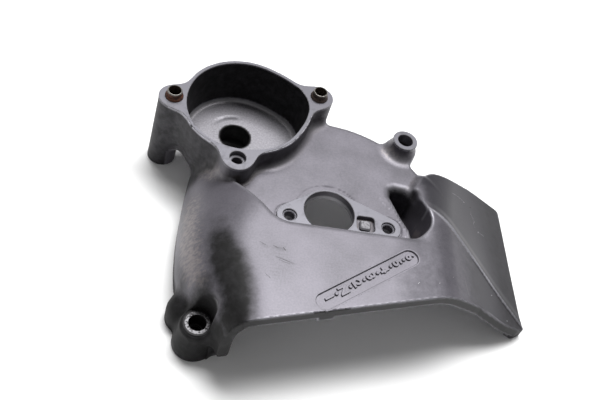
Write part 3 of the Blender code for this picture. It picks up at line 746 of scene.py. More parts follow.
    def cut_small(self, form: Array, at: Points) -> None:
        """Cut the chip in the rim and the niche over the lug's face.

        Args:
            form: The distances so far, which it changes.
            at: The points.
        """
        s = self.sizes
        off = np.hypot(at.gap(s.rim_chip), at.z - s.rim_top)
        near = off < 8.0
        form[near] = np.maximum(form[near], s.rim_chip_radius - off[near])
        near = at.gap(s.lug) < 20.0
        part = at.among(near)
        niche = np.maximum(part.gap(s.lug) - s.lug_ring_radius - 0.7, s.lug_top - part.z)
        form[near] = smooth_max(form[near], -niche, 1.2)

    def cut_holes(self, form: Array, at: Points) -> None:
        """Bore the screw holes with their seats, the clutch bore and the square recess.

        Args:
            form: The distances so far, which it changes.
            at: The points.
        """
        s = self.sizes
        seats = [(s.left_boss, s.rim_top), (s.right_boss, s.rim_top), (s.front_boss, s.rim_top),
                 (s.post, s.post_top), (s.lug, s.lug_face_top)]
        for place, top in seats:
            near = at.gap(place) < 16.0
            part = at.among(near)
            seat = np.maximum(part.gap(place) - s.seat_radius, top - s.seat_depth - part.z)
            hole = np.minimum(seat, part.gap(place) - s.bolt_radius)
            form[near] = np.maximum(form[near], -hole)
        bores = [((0.0, 0.0), s.bore_radius)] + [(place, s.pad_hole_radius)
                                                 for place in s.pad_holes]
        for place, radius in bores:
            form[:] = np.maximum(form, radius - at.gap(place))
        near = at.gap(s.recess_place) < 20.0
        part = at.among(near)
        half = 0.5 * s.recess_side - s.recess_corner
        dx = np.maximum(np.abs(part.x - s.recess_place[0]) - half, 0.0)
        dy = np.maximum(np.abs(part.y - s.recess_place[1]) - half, 0.0)
        square = np.maximum(np.hypot(dx, dy) - s.recess_corner, s.pad_bed - part.z)
        form[near] = np.maximum(form[near], -square)

    def slot_off(self, at: Points) -> Array:
        """Measure how far points stand from the middle line of the gear pattern's slot.

        Args:
            at: The points.

        Returns:
            One distance for each point.
        """
        s = self.sizes
        px, py = at.x - s.slot_start[0], at.y - s.slot_start[1]
        way = math.radians(s.slot_angle)
        along = np.clip(px * math.cos(way) + py * math.sin(way), 0.0, s.slot_length)
        return np.hypot(px - along * math.cos(way), py - along * math.sin(way))

    def cut_slot(self, form: Array, at: Points) -> None:
        """Cut the gear pattern's slot into the roof.

        Args:
            form: The distances so far, which it changes.
            at: The points.
        """
        s = self.sizes
        near = at.z > 48.0
        part = at.among(near)
        slot = np.maximum(self.slot_off(part) - 0.5 * s.slot_width - 0.5,
                          s.roof_top - s.slot_depth - 0.4 - part.z)
        form[near] = np.maximum(form[near], -slot)

    def distance(self, at: Points) -> Array:
        """Measure the distance to the whole casting with its holes worked in.

        Args:
            at: The points.

        Returns:
            One distance for each point.
        """
        form = self.shell(at)
        for work in (self.join_cup, self.join_stubs, self.join_guide, self.join_boot,
                     self.join_post, self.join_lug, self.cut_cup, self.cut_pocket,
                     self.cut_small, self.cut_holes, self.cut_slot):
            work(form, at)
        return np.maximum(form, -at.z)

    def facing(self, places: Array) -> Array:
        """Measure which way the surface faces at places on it.

        Args:
            places: The places, as three rows.

        Returns:
            Directions of length 1, as three rows.
        """
        total = np.zeros(places.shape)
        for way in ((1, -1, -1), (-1, -1, 1), (-1, 1, -1), (1, 1, 1)):
            offset = np.array(way, dtype=float)[:, None]
            total += offset * self.distance(Points(*(places + offset * self.probe)))
        return total / (np.linalg.norm(total, axis=0) + 1e-12)


@dataclass
class SurfaceGrid:
    """A grid of cells that a form's surface is read on, with its sharp edges kept."""

    form: CastingForm
    low: tuple[float, float, float]
    high: tuple[float, float, float]
    cell: float
    block: int = 4
    steepest: float = 1.45
    slack: float = 0.6
    softening: float = 0.06
    stray: float = 0.75

    def corner_values(self) -> Array:
        """Measure the form at the grid's nodes, in full only near its surface.

        Returns:
            A three-way array of distances.
        """
        span = self.cell * self.block
        counts = [int(math.ceil((h - l) / span)) for l, h in zip(self.low, self.high)]
        middles = [l + span * (np.arange(n) + 0.5) for l, n in zip(self.low, counts)]
        blocks = np.meshgrid(*middles, indexing="ij")
        coarse = self.form.distance(Points(*(axis.ravel() for axis in blocks)))
        coarse = coarse.reshape(blocks[0].shape)
        half_diagonal = 0.87 * span
        active = np.abs(coarse) < half_diagonal * self.steepest + self.slack
        ends = [n * self.block for n in counts]
        values = np.empty([end + 1 for end in ends], dtype=np.float64)
        mask = np.zeros(values.shape, dtype=bool)
        for start in np.ndindex(*(self.block + 1,) * 3):
            part = tuple(slice(first, end + first, self.block) for first, end in zip(start, ends))
            values[part] = coarse
            mask[part] |= active
        where = np.nonzero(mask)
        at = Points(*(self.low[axis] + self.cell * where[axis] for axis in range(3)))
        values[where] = self.form.distance(at)
        return values

    def surface(self) -> tuple[Array, Array]:
        """Find the form's surface as points and four-sided faces.

        Returns:
            The points, and the faces as rows of four point numbers.
        """
        values = self.corner_values()
        inside = values < 0.0
        cells = [n - 1 for n in values.shape]
        crossings: list[Array] = []
        owners: list[Array] = []
        flips: list[Array] = []
        for axis in range(3):
            low_part = tuple(slice(0, -1) if a == axis else slice(None) for a in range(3))
            high_part = tuple(slice(1, None) if a == axis else slice(None) for a in range(3))
            node = np.array(np.nonzero(inside[low_part] != inside[high_part]))
            first, second = (axis + 1) % 3, (axis + 2) % 3
            keep = np.ones(node.shape[1], dtype=bool)
            for other in (first, second):
                keep &= (node[other] > 0) & (node[other] < cells[other])
            node = node[:, keep]
            after = node.copy()
            after[axis] += 1
            start, end = values[tuple(node)], values[tuple(after)]
            point = np.array([self.low[a] + self.cell * node[a] for a in range(3)])
            crossings.append(self.refine(point, axis, start, end))
            quad = []
            for da, db in ((1, 1), (0, 1), (0, 0), (1, 0)):
                cell = node.copy()
                cell[first] -= da
                cell[second] -= db
                quad.append((cell[0] * cells[1] + cell[1]) * cells[2] + cell[2])
            owners.append(np.array(quad).T)
            flips.append(start > 0.0)
        points = np.concatenate(crossings, axis=1)
        quads, turned = np.concatenate(owners), np.concatenate(flips)
        used, numbers = np.unique(quads.ravel(), return_inverse=True)
        numbers = numbers.reshape(quads.shape)
        placed = self.place(points, numbers, used, cells)
        numbers[turned] = numbers[turned][:, ::-1]
        return placed, numbers

    def refine(self, point: Array, axis: int, start: Array, end: Array) -> Array:
        """Close in on where grid edges cross the surface.

        Args:
            point: The edges' first nodes, as three rows.
            axis: The axis that the edges run along.
            start: The form's distances at the first nodes.
            end: Its distances at the last nodes.

        Returns:
            The crossings, as three rows.
        """
        low, high = np.zeros(start.shape), np.full(start.shape, self.cell)
        first, last = start.copy(), end.copy()
        moved = point.copy()
        for _ in range(3):
            drop = np.where(np.abs(first - last) < 1e-9, 1e-9, first - last)
            part = low + (high - low) * np.clip(first / drop, 0.02, 0.98)
            moved = point.copy()
            moved[axis] += part
            value = self.form.distance(Points(*moved))
            same = (value > 0.0) == (first > 0.0)
            low, first = np.where(same, part, low), np.where(same, value, first)
            high, last = np.where(same, high, part), np.where(same, last, value)
        return moved

    def place(self, points: Array, numbers: Array, used: Array, cells: list[int]) -> Array:
        """Put one point in each crossed cell where its planes meet.

        Args:
            points: Where the grid's edges cross the surface, as three rows.
            numbers: For each crossing, which of the crossed cells lie round it.
            used: The crossed cells.
            cells: How many cells there are along each axis.

        Returns:
            One point in a row for each crossed cell.
        """
        normals = self.form.facing(points)
        count, flat = len(used), numbers.ravel()
        crossing = np.repeat(np.arange(points.shape[1]), 4)
        mass = np.array([np.bincount(flat, weights=row[crossing], minlength=count)
                         for row in points]) / np.bincount(flat, minlength=count)
        local = points[:, crossing] - mass[:, flat]
        facing = normals[:, crossing]
        against = np.sum(local * facing, axis=0)
        system = np.empty((count, 3, 3))
        pull = np.empty((count, 3))
        for a in range(3):
            for b in range(3):
                system[:, a, b] = np.bincount(flat, weights=facing[a] * facing[b],
                                              minlength=count)
            pull[:, a] = np.bincount(flat, weights=facing[a] * against, minlength=count)
            system[:, a, a] += self.softening
        move = np.linalg.solve(system, pull[:, :, None])[:, :, 0]
        cell = np.array(np.unravel_index(used, cells)).T
        centre = np.array(self.low) + self.cell * (cell + 0.5)
        placed = mass.T + np.clip(move, -self.cell, self.cell)
        reach = self.stray * self.cell
        return np.clip(placed, centre - reach, centre + reach)


# Colours, nodes and finishes.

def linear_colour(code: str) -> Colour:
    """Turn an sRGB hex colour to linear values.

    Args:
        code: The colour, as in #8a8a90.

    Returns:
        Red, green, blue and an opacity of 1.
    """
    parts = [int(code[place:place + 2], 16) / 255.0 for place in (1, 3, 5)]
    straight = [part / 12.92 if part <= 0.04045 else ((part + 0.055) / 1.055) ** 2.4
                for part in parts]
    return straight[0], straight[1], straight[2], 1.0


def add_node(tree: Tree, kind: str, settings: dict[str, object],
             feeds: dict[int | str, object]) -> bpy.types.Node:
    """Add a node with its settings and what feeds it.

    Args:
        tree: The material's or the world's nodes.
        kind: The node's kind, without its usual first word.
        settings: Values of the node itself.
        feeds: A value, or the socket it comes from, for each of its inputs.

    Returns:
        The node.
    """
    node = tree.nodes.new("ShaderNode" + kind)
    for name, value in settings.items():
        setattr(node, name, value)
    for place, value in feeds.items():
        if isinstance(value, bpy.types.NodeSocket):
            tree.links.new(value, node.inputs[place])
        else:
            node.inputs[place].default_value = value
    return node


def noise(tree: Tree, place: Socket, size: float, detail: float, rough: float = 0.5) -> Socket:
    """Add cloudy noise whose patches are a size in millimetres."""
    return add_node(tree, "TexNoise", {}, {"Vector": place, "Scale": 1.0 / size,
                                           "Detail": detail, "Roughness": rough}).outputs["Fac"]


def spread(tree: Tree, value: Socket, low: float, high: float, first: float = 0.0,
           last: float = 1.0, kind: str = "LINEAR") -> Socket:
    """Spread the values between low and high over first to last, and clamp them there."""
    return add_node(tree, "MapRange", {"interpolation_type": kind},
                    {"Value": value, 1: low, 2: high, 3: first, 4: last}).outputs[0]


def times_plus(tree: Tree, value: Socket, factor: float, extra: float | Socket) -> Socket:
    """Multiply a value and add to it."""
    return add_node(tree, "Math", {"operation": "MULTIPLY_ADD"},
                    {0: value, 1: factor, 2: extra}).outputs[0]


def mixed(tree: Tree, share: Socket, first: Socket | Colour, second: Socket | Colour) -> Socket:
    """Mix two colours by a share of the second."""
    return add_node(tree, "Mix", {"data_type": "RGBA"}, {0: share, 6: first, 7: second}).outputs[2]


def new_material(name: str) -> tuple[bpy.types.Material, Tree, Socket]:
    """Start an empty material, with the place on the cover in millimetres for its patterns.

    Args:
        name: The material's name.

    Returns:
        The material, its nodes and the place.
    """
    material = bpy.data.materials.new(name)
    material.use_nodes = True
    tree = material.node_tree
    tree.nodes.clear()
    place = add_node(tree, "TexCoord", {}, {})
    scaled = add_node(tree, "VectorMath", {"operation": "SCALE"},
                      {0: place.outputs["Object"], "Scale": 1.0 / MM})
    return material, tree, scaled.outputs[0]


def add_surface(tree: Tree, feeds: dict[int | str, object], pattern: Socket | None = None,
                height: float = 0.0) -> None:
    """Add the shader and the output.

    Args:
        tree: The material's nodes.
        feeds: What feeds the shader.
        pattern: The pattern that raises the surface, if there is one.
        height: How high it is raised, in millimetres.
    """
    if pattern is not None:
        bump = add_node(tree, "Bump", {}, {"Strength": 0.6, "Distance": height * MM,
                                           "Height": pattern})
        feeds["Normal"] = bump.outputs[0]
    shader = add_node(tree, "BsdfPrincipled", {}, feeds)
    add_node(tree, "OutputMaterial", {}, {"Surface": shader.outputs[0]})


@dataclass(frozen=True)
class GunmetalPaint:
    """Satin two-pack paint with fine metal flake, sprayed on a sand-blasted alloy casting.

    The flake gives it a broad soft sheen, and the casting's grain shows through as a fine
    speckle. Grease has blackened the corner by the lug, and dry road dirt lies in the hollows.
    Its layers also paint light: black shade over the roof's left shoulder, in and round the
    cup and at the pocket's back, dark shade on the fin and the roof's right end, a highlight
    round the cup's floor and a shadow in that floor's dent.
    """

    name: str = "gunmetal_satin_paint"
    colour: str = "#525056"
    light_colour: str = "#6f6c74"
    dirt_colour: str = "#3a322c"
    # Black and near-black for grease, and for painted shade in the same layer.
    grease_and_shade_colour: str = "#0b0a0b"
    grit_and_shade_colour: str = "#222123"
    # Dark lilac for painted shade on the fin and the roof's right end.
    right_end_shade_colour: str = "#1f1d25"
    dust_colour: str = "#837c7b"
    # Pale alloy for the bare underside and the cup's floor, and for a painted highlight round that
    # floor.
    raw_and_highlight_colour: str = "#a3a2a6"
    # Dark grey for scuffs, and for a painted shadow in the cup floor's dent.
    scuff_and_shadow_colour: str = "#46454a"
    worn_colour: str = "#9b9aa1"
    metallic: float = 0.45
    roughness: float = 0.38
    grease_and_shade_roughness: float = 0.74
    # The real grain is about 0.4 mm; it is drawn at 1.1 mm so that it shows at this size.
    grain_size: float = 1.1
    streak_scale: tuple[float, float, float] = (0.55, 0.55, 0.10)
    cloud_size: float = 24.0
    blotch_size: float = 5.0
    grain_height: float = 0.035

    def build(self) -> bpy.types.Material:
        """Make the material.

        Returns:
            The material.
        """
        material, tree, place = new_material(self.name)
        grain = noise(tree, place, self.grain_size, 2.0, 0.6)
        cloud = noise(tree, place, self.cloud_size, 3.0)
        blotch = noise(tree, place, self.blotch_size, 4.0, 0.65)
        stretched = add_node(tree, "VectorMath", {"operation": "MULTIPLY"},
                             {0: place, 1: self.streak_scale}).outputs[0]
        streaky = spread(tree, noise(tree, stretched, 1.0, 4.0, 0.6), 0.36, 0.64)
        grease_and_shade = mixed(tree, spread(tree, blotch, 0.40, 0.72), linear_colour(self.grease_and_shade_colour),
                       linear_colour(self.grit_and_shade_colour))
        shade = spread(tree, times_plus(tree, grain, 0.55, cloud), 0.45, 1.15)
        colour = mixed(tree, shade, linear_colour(self.colour), linear_colour(self.light_colour))
        masks = {name: add_node(tree, "Attribute", {"attribute_name": name}, {}).outputs["Fac"]
                 for name in ("raw_and_highlight", "crevice", "edge", "grease_and_shade", "dust", "scuff_and_shadow", "right_end_shade")}
        # Some layers also paint light: the black one paints shade, the dark lilac one paints shade
        # on the fin, the pale one paints a highlight round the cup's floor and the dark grey one
        # paints a shadow in its dent.
        layers = (("raw_and_highlight", linear_colour(self.raw_and_highlight_colour), 0.95, 0.55, grain),
                  ("dust", linear_colour(self.dust_colour), 0.8, 0.6, streaky),
                  ("scuff_and_shadow", linear_colour(self.scuff_and_shadow_colour), 0.8, 0.9, blotch),
                  ("right_end_shade", linear_colour(self.right_end_shade_colour), 0.85, 0.5, blotch),
                  ("crevice", linear_colour(self.dirt_colour), 0.8, 0.5, blotch),
                  ("edge", linear_colour(self.worn_colour), 0.8, 0.4, blotch),
                  ("grease_and_shade", grease_and_shade, 1.0, 0.4, blotch))
        for mask, layer_colour, most, broken, pattern in layers:
            ragged = times_plus(tree, pattern, -broken, 0.5 * broken + 0.5)
            lifted = times_plus(tree, masks[mask], 1.4, ragged)
            share = spread(tree, lifted, 0.62, 1.35, 0.0, most, "SMOOTHSTEP")
            share = add_node(tree, "Math", {"operation": "MULTIPLY"},
                             {0: share, 1: spread(tree, masks[mask], 0.02, 0.2)}).outputs[0]
            colour = mixed(tree, share, colour, layer_colour)
        rough = spread(tree, masks["grease_and_shade"], 0.0, 1.0, self.roughness, self.grease_and_shade_roughness)
        add_surface(tree, {"Base Color": colour, "Metallic": self.metallic,
                           "Roughness": times_plus(tree, cloud, 0.10, rough)},
                    grain, self.grain_height)
        return material


@dataclass(frozen=True)
class BareMetal:
    """A bare metal whose look is set by its tool marks, stains and rust."""

    name: str
    colour: str
    stain_colour: str
    metallic: float
    roughness: float
    stain_size: float
    stain_low: float
    stain_high: float
    stain_most: float = 1.0
    height: float = 0.02
    stained_roughness: float = 0.75
    mark_size: float = 1.0 / 2.2

    def build(self) -> bpy.types.Material:
        """Make the material.

        Returns:
            The material.
        """
        material, tree, place = new_material(self.name)
        stain = noise(tree, place, self.stain_size, 5.0, 0.65)
        share = spread(tree, stain, self.stain_low, self.stain_high, 0.0, self.stain_most,
                       "SMOOTHSTEP")
        colour = mixed(tree, share, linear_colour(self.colour), linear_colour(self.stain_colour))
        metal = spread(tree, share, 0.0, 1.0, self.metallic, 0.3 * self.metallic)
        rough = spread(tree, share, 0.0, 1.0, self.roughness, self.stained_roughness)
        add_surface(tree, {"Base Color": colour, "Metallic": metal, "Roughness": rough},
                    noise(tree, place, self.mark_size, 2.0), self.height)
        return material


# Milled faces, under the same paint: flat, so they catch the light as one even tone.
MILLED_FACE = BareMetal("milled_alloy_under_thin_paint", "#6c6b72", "#504f55", 0.45, 0.38,
                        9.0, 0.45, 0.75, 0.7, 0.012)
# Cut edges where the paint has chipped back to aluminium: a thin bright line.
BARE_EDGE = BareMetal("bare_aluminium_edge", "#b9b8bd", "#6f6d72", 0.9, 0.38, 2.5, 0.45, 0.62)
# Scratches and chips down to the alloy, dulled by handling.
SCRATCH = BareMetal("scratched_aluminium", "#98979b", "#6f6d72", 0.6, 0.5, 2.5, 0.45, 0.62)
# The ring that a screw head has scraped: bright metal with ragged dark paint round it.
WORN_RING = BareMetal("scraped_aluminium_ring", "#7f7e81", "#373536", 0.7, 0.55, 1.3, 0.5, 0.58)
# The little boss in the square recess, ground flat and then blasted: pale and even.
GROUND_BOSS = BareMetal("ground_aluminium_boss", "#77767a", "#59585c", 0.45, 0.5, 1.4, 0.45, 0.65)
# Turned steel of the sleeves' lips, wiped clean: the brightest metal here.
SLEEVE_LIP = BareMetal("turned_steel_lip", "#7b7874", "#453e39", 0.85, 0.42, 1.6, 0.45, 0.7, 0.8)
# Drawn steel tube with a coat of rust: brown, matt and patchy.
RUSTY_SLEEVE = BareMetal("rusty_steel_tube", "#613a29", "#2e1b15", 0.35, 0.62, 1.8, 0.4, 0.62)
# Drawn steel tube, oily and dark, with a little brown in it.
DARK_SLEEVE = BareMetal("oily_steel_tube", "#4a3d37", "#241b18", 0.5, 0.5, 1.8, 0.4, 0.65)
# The bore of a sleeve, which hardly any light reaches.
SLEEVE_BORE = BareMetal("dirty_steel_bore", "#54493f", "#2a211c", 0.4, 0.6, 1.6, 0.4, 0.6)
# The same paint, dark and nearly matt: on the front lips it paints shade, and in the lug's seat,
# round its ring and in the dull scratches it is a black film of chain grease.
GRIMY_AND_SHADED_PAINT = GunmetalPaint("shaded_lip_and_greasy_paint", "#1c1b1d", "#29282a", metallic=0.1,
                            roughness=0.55)


@dataclass(frozen=True)
class StudioSweep:
    """White painted board: matt and even, so that only the cover's shadow shows on it."""

    name: str = "white_matt_board"
    colour: str = "#f8f8f8"
    shade_colour: str = "#f4f4f4"
    cloud_size: float = 400.0

    def build(self) -> bpy.types.Material:
        """Make the material.

        Returns:
            The material.
        """
        material, tree, place = new_material(self.name)
        colour = mixed(tree, noise(tree, place, self.cloud_size, 1.0),
                       linear_colour(self.colour), linear_colour(self.shade_colour))
        add_surface(tree, {"Base Color": colour, "Roughness": 0.9, "Specular IOR Level": 0.2})
        return material


# Pieces of the cover.

def in_scene(name: str, data: bpy.types.ID) -> bpy.types.Object:
    """Put a mesh, a text, a lamp or a camera in the scene.

    Args:
        name: The object's name.
        data: What it holds.

    Returns:
        The object.
    """
    holder = bpy.data.objects.new(name, data)
    bpy.context.scene.collection.objects.link(holder)
    return holder


def finished(name: str, mesh: bpy.types.Mesh, materials: Coats) -> bpy.types.Object:
    """Put a mesh in the scene as a piece of the cover.

    Args:
        name: The piece's name.
        mesh: Its mesh, in metres in the row frame.
        materials: Its materials, in the order of its faces' numbers.

    Returns:
        The piece.
    """
    piece = in_scene(name, mesh)
    for material in materials:
        mesh.materials.append(material)
    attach(piece, ROOT)
    LOG.info("%s: %d faces", name, len(mesh.polygons))
    return piece


def row_points(points: Array) -> Array:
    """Turn places in millimetres from the clutch bore to metres in the row frame."""
    return (np.asarray(points) + np.array([PLAN_SHIFT[0], PLAN_SHIFT[1], 0.0])) * MM


def creased_mesh(name: str, points: list[tuple[float, float, float]],
                 faces: list[tuple[int, ...]], numbers: list[int],
                 crease: float) -> bpy.types.Mesh:
    """Make a smooth mesh with sharp creases.

    Args:
        name: The mesh's name.
        points: Its points, in millimetres from the clutch bore.
        faces: The numbers of each face's points.
        numbers: Which material each face has.
        crease: The angle in degrees from which an edge is sharp.

    Returns:
        The mesh.
    """
    mesh = bpy.data.meshes.new(name)
    mesh.from_pydata([tuple(p) for p in row_points(np.array(points))], [], faces)
    mesh.polygons.foreach_set("material_index", np.array(numbers, dtype=np.int32))
    mesh.shade_smooth()
    mesh.set_sharp_from_angle(angle=math.radians(crease))
    return mesh


def read_all(items: bpy.types.bpy_prop_collection, name: str, kind: type,
             width: int = 1) -> Array:
    """Read one property of all of a mesh's vertices, corners or faces.

    Args:
        items: The vertices, corners or faces.
        name: The property's name.
        kind: The kind of its numbers.
        width: How many numbers each item has.

    Returns:
        The numbers, in one row.
    """
    values = np.empty(len(items) * width, dtype=kind)
    items.foreach_get(name, values)
    return values


# Trails of grease, painted shade, dust and scuffs: place along, place across, height, reach and
# strength.
# The roof's dark left shoulder: painted shade and painted dark reflection, with grease in it.
DARK_BAND: tuple[Trail, ...] = (
    ((-66.0, -6.0, 46.0, 12.0, 0.06), (-66.0, -24.0, 49.0, 13.0, 0.3),
     (-65.0, -36.0, 50.0, 14.0, 0.6), (-61.0, -48.0, 51.0, 16.0, 0.78),
     (-57.0, -60.0, 52.0, 17.0, 0.74), (-54.0, -72.0, 52.0, 17.0, 0.66),
     (-54.0, -84.0, 48.0, 19.0, 0.76)),
    ((-62.0, -46.0, 50.0, 9.0, 1.0), (-58.0, -56.0, 52.0, 8.0, 0.9)),
    ((-50.0, -74.0, 52.0, 8.0, 0.7), (-50.0, -84.0, 50.0, 10.0, 0.85)))
GREASY_CORNER: tuple[Trail, ...] = (
    ((-66.0, -60.0, 40.0, 15.0, 0.55), (-66.0, -72.0, 26.0, 22.0, 1.0),
     (-70.0, -76.0, 12.0, 26.0, 1.0), (-80.0, -60.0, 8.0, 22.0, 0.95)),
    ((-60.0, -86.0, 34.0, 16.0, 0.8), (-60.0, -88.0, 10.0, 18.0, 0.9)),
    ((-80.0, -40.0, 0.0, 16.0, 0.8), (-86.0, 0.0, 0.0, 12.0, 0.5)),
    ((-86.0, -24.0, 10.0, 14.0, 0.2), (-80.0, -50.0, 24.0, 15.0, 0.38)))
DUSTY_WALLS: tuple[Trail, ...] = (
    ((-84.0, 0.0, 30.0, 16.0, 0.32), (-82.0, -26.0, 32.0, 17.0, 0.44),
     (-77.0, -48.0, 36.0, 15.0, 0.46), (-72.0, -58.0, 40.0, 9.0, 0.36)),
    ((59.0, 0.0, 28.0, 9.0, 0.9), (54.0, -8.0, 24.0, 10.0, 0.7)),
    ((42.0, 57.0, 42.0, 8.0, 0.45), (47.0, 55.0, 42.0, 6.0, 0.45)),
    ((-70.0, 22.0, 40.0, 12.0, 0.5), (-74.0, 26.0, 30.0, 10.0, 0.4)))
SCUFFS_AND_DENT_SHADOW: tuple[Trail, ...] = (
    ((-43.0, -38.5, 55.0, 2.2, 0.3), (-40.0, -40.0, 55.0, 2.2, 0.3)),
    ((-36.0, -39.5, 55.0, 2.4, 0.35), (-31.0, -40.5, 55.0, 2.2, 0.45)),
    ((-34.0, -46.0, 55.0, 1.8, 0.35), (-24.0, -49.0, 55.0, 1.8, 0.4)),
    # This trail paints the shadow in the dent of the cup's floor.
    ((-64.6, 83.6, 22.0, 2.6, 0.5), (-61.0, 84.8, 22.0, 2.6, 0.6),
     (-57.0, 85.2, 22.0, 2.6, 0.5)))


@dataclass
class SurfaceMarks:
    """Where the casting is bare, greasy, dusty and scuffed, and where shade, a shadow and a
    highlight are painted on it.
    """

    form: CastingForm
    place: Array
    normals: Array
    at: Points = field(init=False)
    cup: Array = field(init=False)
    pocket: Array = field(init=False)

    def __post_init__(self) -> None:
        """Measure what several kinds of mark go by."""
        s = self.form.sizes
        self.at = Points(*self.place.T)
        self.cup = blended_distance(self.at, s.cup_rounds(s.cup_wall), 0.0, s.rim_blend)
        self.pocket = outline_distance(self.at, s.pocket_outline())

    def trails(self, lines: tuple[Trail, ...]) -> Array:
        """Lay soft trails over the casting.

        Args:
            lines: For each trail its points, each with its reach and its strength.

        Returns:
            One value for each place, 0 to 1.
        """
        total = np.zeros(len(self.place))
        for line in lines:
            for first, last in zip(line, line[1:]):
                start, way = np.array(first[:3]), np.array(last[:3]) - np.array(first[:3])
                along = (self.place - start) @ way / (way @ way + 1e-9)
                along = np.clip(along, 0.0, 1.0)
                off = np.linalg.norm(self.place - start - along[:, None] * way, axis=1)
                reach = first[3] + (last[3] - first[3]) * along
                strength = first[4] + (last[4] - first[4]) * along
                total = np.maximum(total, strength * (1.0 - ramp(off / reach, 0.0, 1.15)))
        return total

    def grease_and_shade(self) -> Array:
        """Give the chain's grease on the lug's corner and the roof's dark band, and painted shade
        on that band, inside the cup, down its hole, round the hole's edge, under its rim, at the
        pocket's back and towards the fin's tip; the cup's outer left walls are made darker too.

        Returns:
            One value for each place, 0 to 1.
        """
        s, at = self.form.sizes, self.at
        wall_side = blended_distance(at, s.cup_rounds(s.cup_wall) + [
            (s.left_boss, s.boss_radius)], 0.0, s.rim_blend)
        # Darker on the cup's outer walls at the left that face sideways.
        outside = (wall_side > -1.5) * (at.z < 55.0) * (1.0 - ramp(self.normals[:, 2], 0.4, 0.75))
        outside *= ramp(-at.x, 50.0, 72.0) * ramp(at.y, 14.0, 26.0)
        outside *= 1.0 - ramp(at.y, 66.0, 96.0)
        # Painted shade: the cup's inner wall is made black, and so is the guide below its hole.
        inside = (wall_side < -1.2) * ramp(at.z, 23.6, 25.2)
        hole = at.gap(s.cup_hole)
        guide = (hole < 11.0) & (at.z < 20.5)
        # Painted shade with dirt under the rim and on the plate beside it, as a contact shadow.
        rim_side = blended_distance(at, s.rim_rounds(), 0.0, s.rim_blend)
        under = 0.36 * (1.0 - ramp(rim_side, 0.5, 5.0)) * (rim_side > -1.6) * (at.z < 54.4)
        under *= ramp(at.x, -70.0, -62.0) * (1.0 - ramp(at.y, 72.0, 86.0))
        # Painted shade round the hole's edge over its highlight, darker towards the fin's tip, and
        # on the pocket's rounded back edge over its highlight.
        lip = 0.85 * (1.0 - ramp(hole, 9.6, 11.8)) * (wall_side < -2.0) * (at.z < 23.0)
        tip = 0.34 * ramp(at.x, 94.0, 124.0) * (at.y < 60.0)
        back = 0.42 * (1.0 - ramp(self.pocket, 0.5, 5.5))
        back *= ramp(at.y, 14.0, 22.0) * (at.x < 60.0)
        return overlap(self.trails(DARK_BAND + GREASY_CORNER), 0.46 * outside + 0.55 * inside
                       + 0.8 * guide, under, lip, tip, back)

    def right_end_shade(self) -> Array:
        """Give painted shade on the fin and on the roof's right end, darker towards the right.

        Returns:
            One value for each place, 0 to 1.
        """
        at = self.at
        # Painted shade: darker over the fin towards its tip and over the roof's right end.
        right_end_shade = (0.6 + 0.35 * ramp(at.x, 98.0, 122.0)) * ramp(at.x, 54.0, 66.0)
        right_end_shade *= ramp(self.form.ridge_side(at), -0.5, 1.5)
        fade = 0.38 * (1.0 - ramp(at.y, -22.0, -12.0)) * (1.0 - ramp(at.x, 56.0, 68.0))
        fade = np.maximum(fade * ramp(at.x, 14.0, 50.0), 0.2 * ramp(at.x, 40.0, 68.0))
        right_end_shade = np.maximum(right_end_shade, fade + 0.4 * ramp(at.x, 72.0, 98.0))
        return right_end_shade * (self.normals[:, 2] > 0.3) * (at.y < 60.0) * ramp(at.x, 8.0, 44.0)

    def raw_and_highlight(self) -> Array:
        """Give the unpainted metal of the underside and of the cup's floor, with a painted
        highlight along the fillet round that floor.

        Returns:
            One value for each place, 0 to 1.
        """
        at = self.at
        raw_and_highlight = ramp(-self.form.envelope(at), 2.4, 3.4) * (self.pocket > 0.6)
        raw_and_highlight *= ((self.cup > 0.0) | (at.z < 17.0)) * (self.form.front(at) < -1.2)
        # A painted highlight along the fillet between the cup's floor and its wall, over the
        # floor's pale unpainted metal.
        floor_and_highlight = 0.30 + 0.45 * ramp(at.z, 22.3, 23.0)
        floor_and_highlight *= (self.cup < -1.5) * (at.z > 21.0) * (1.0 - ramp(at.z, 24.0, 25.2))
        return np.maximum(raw_and_highlight, floor_and_highlight)

    def values(self) -> dict[str, Array]:
        """Work out all the marks, one array for each kind."""
        return {"grease_and_shade": self.grease_and_shade(), "dust": self.trails(DUSTY_WALLS),
                "scuff_and_shadow": self.trails(SCUFFS_AND_DENT_SHADOW), "raw_and_highlight": self.raw_and_highlight(), "right_end_shade": self.right_end_shade()}


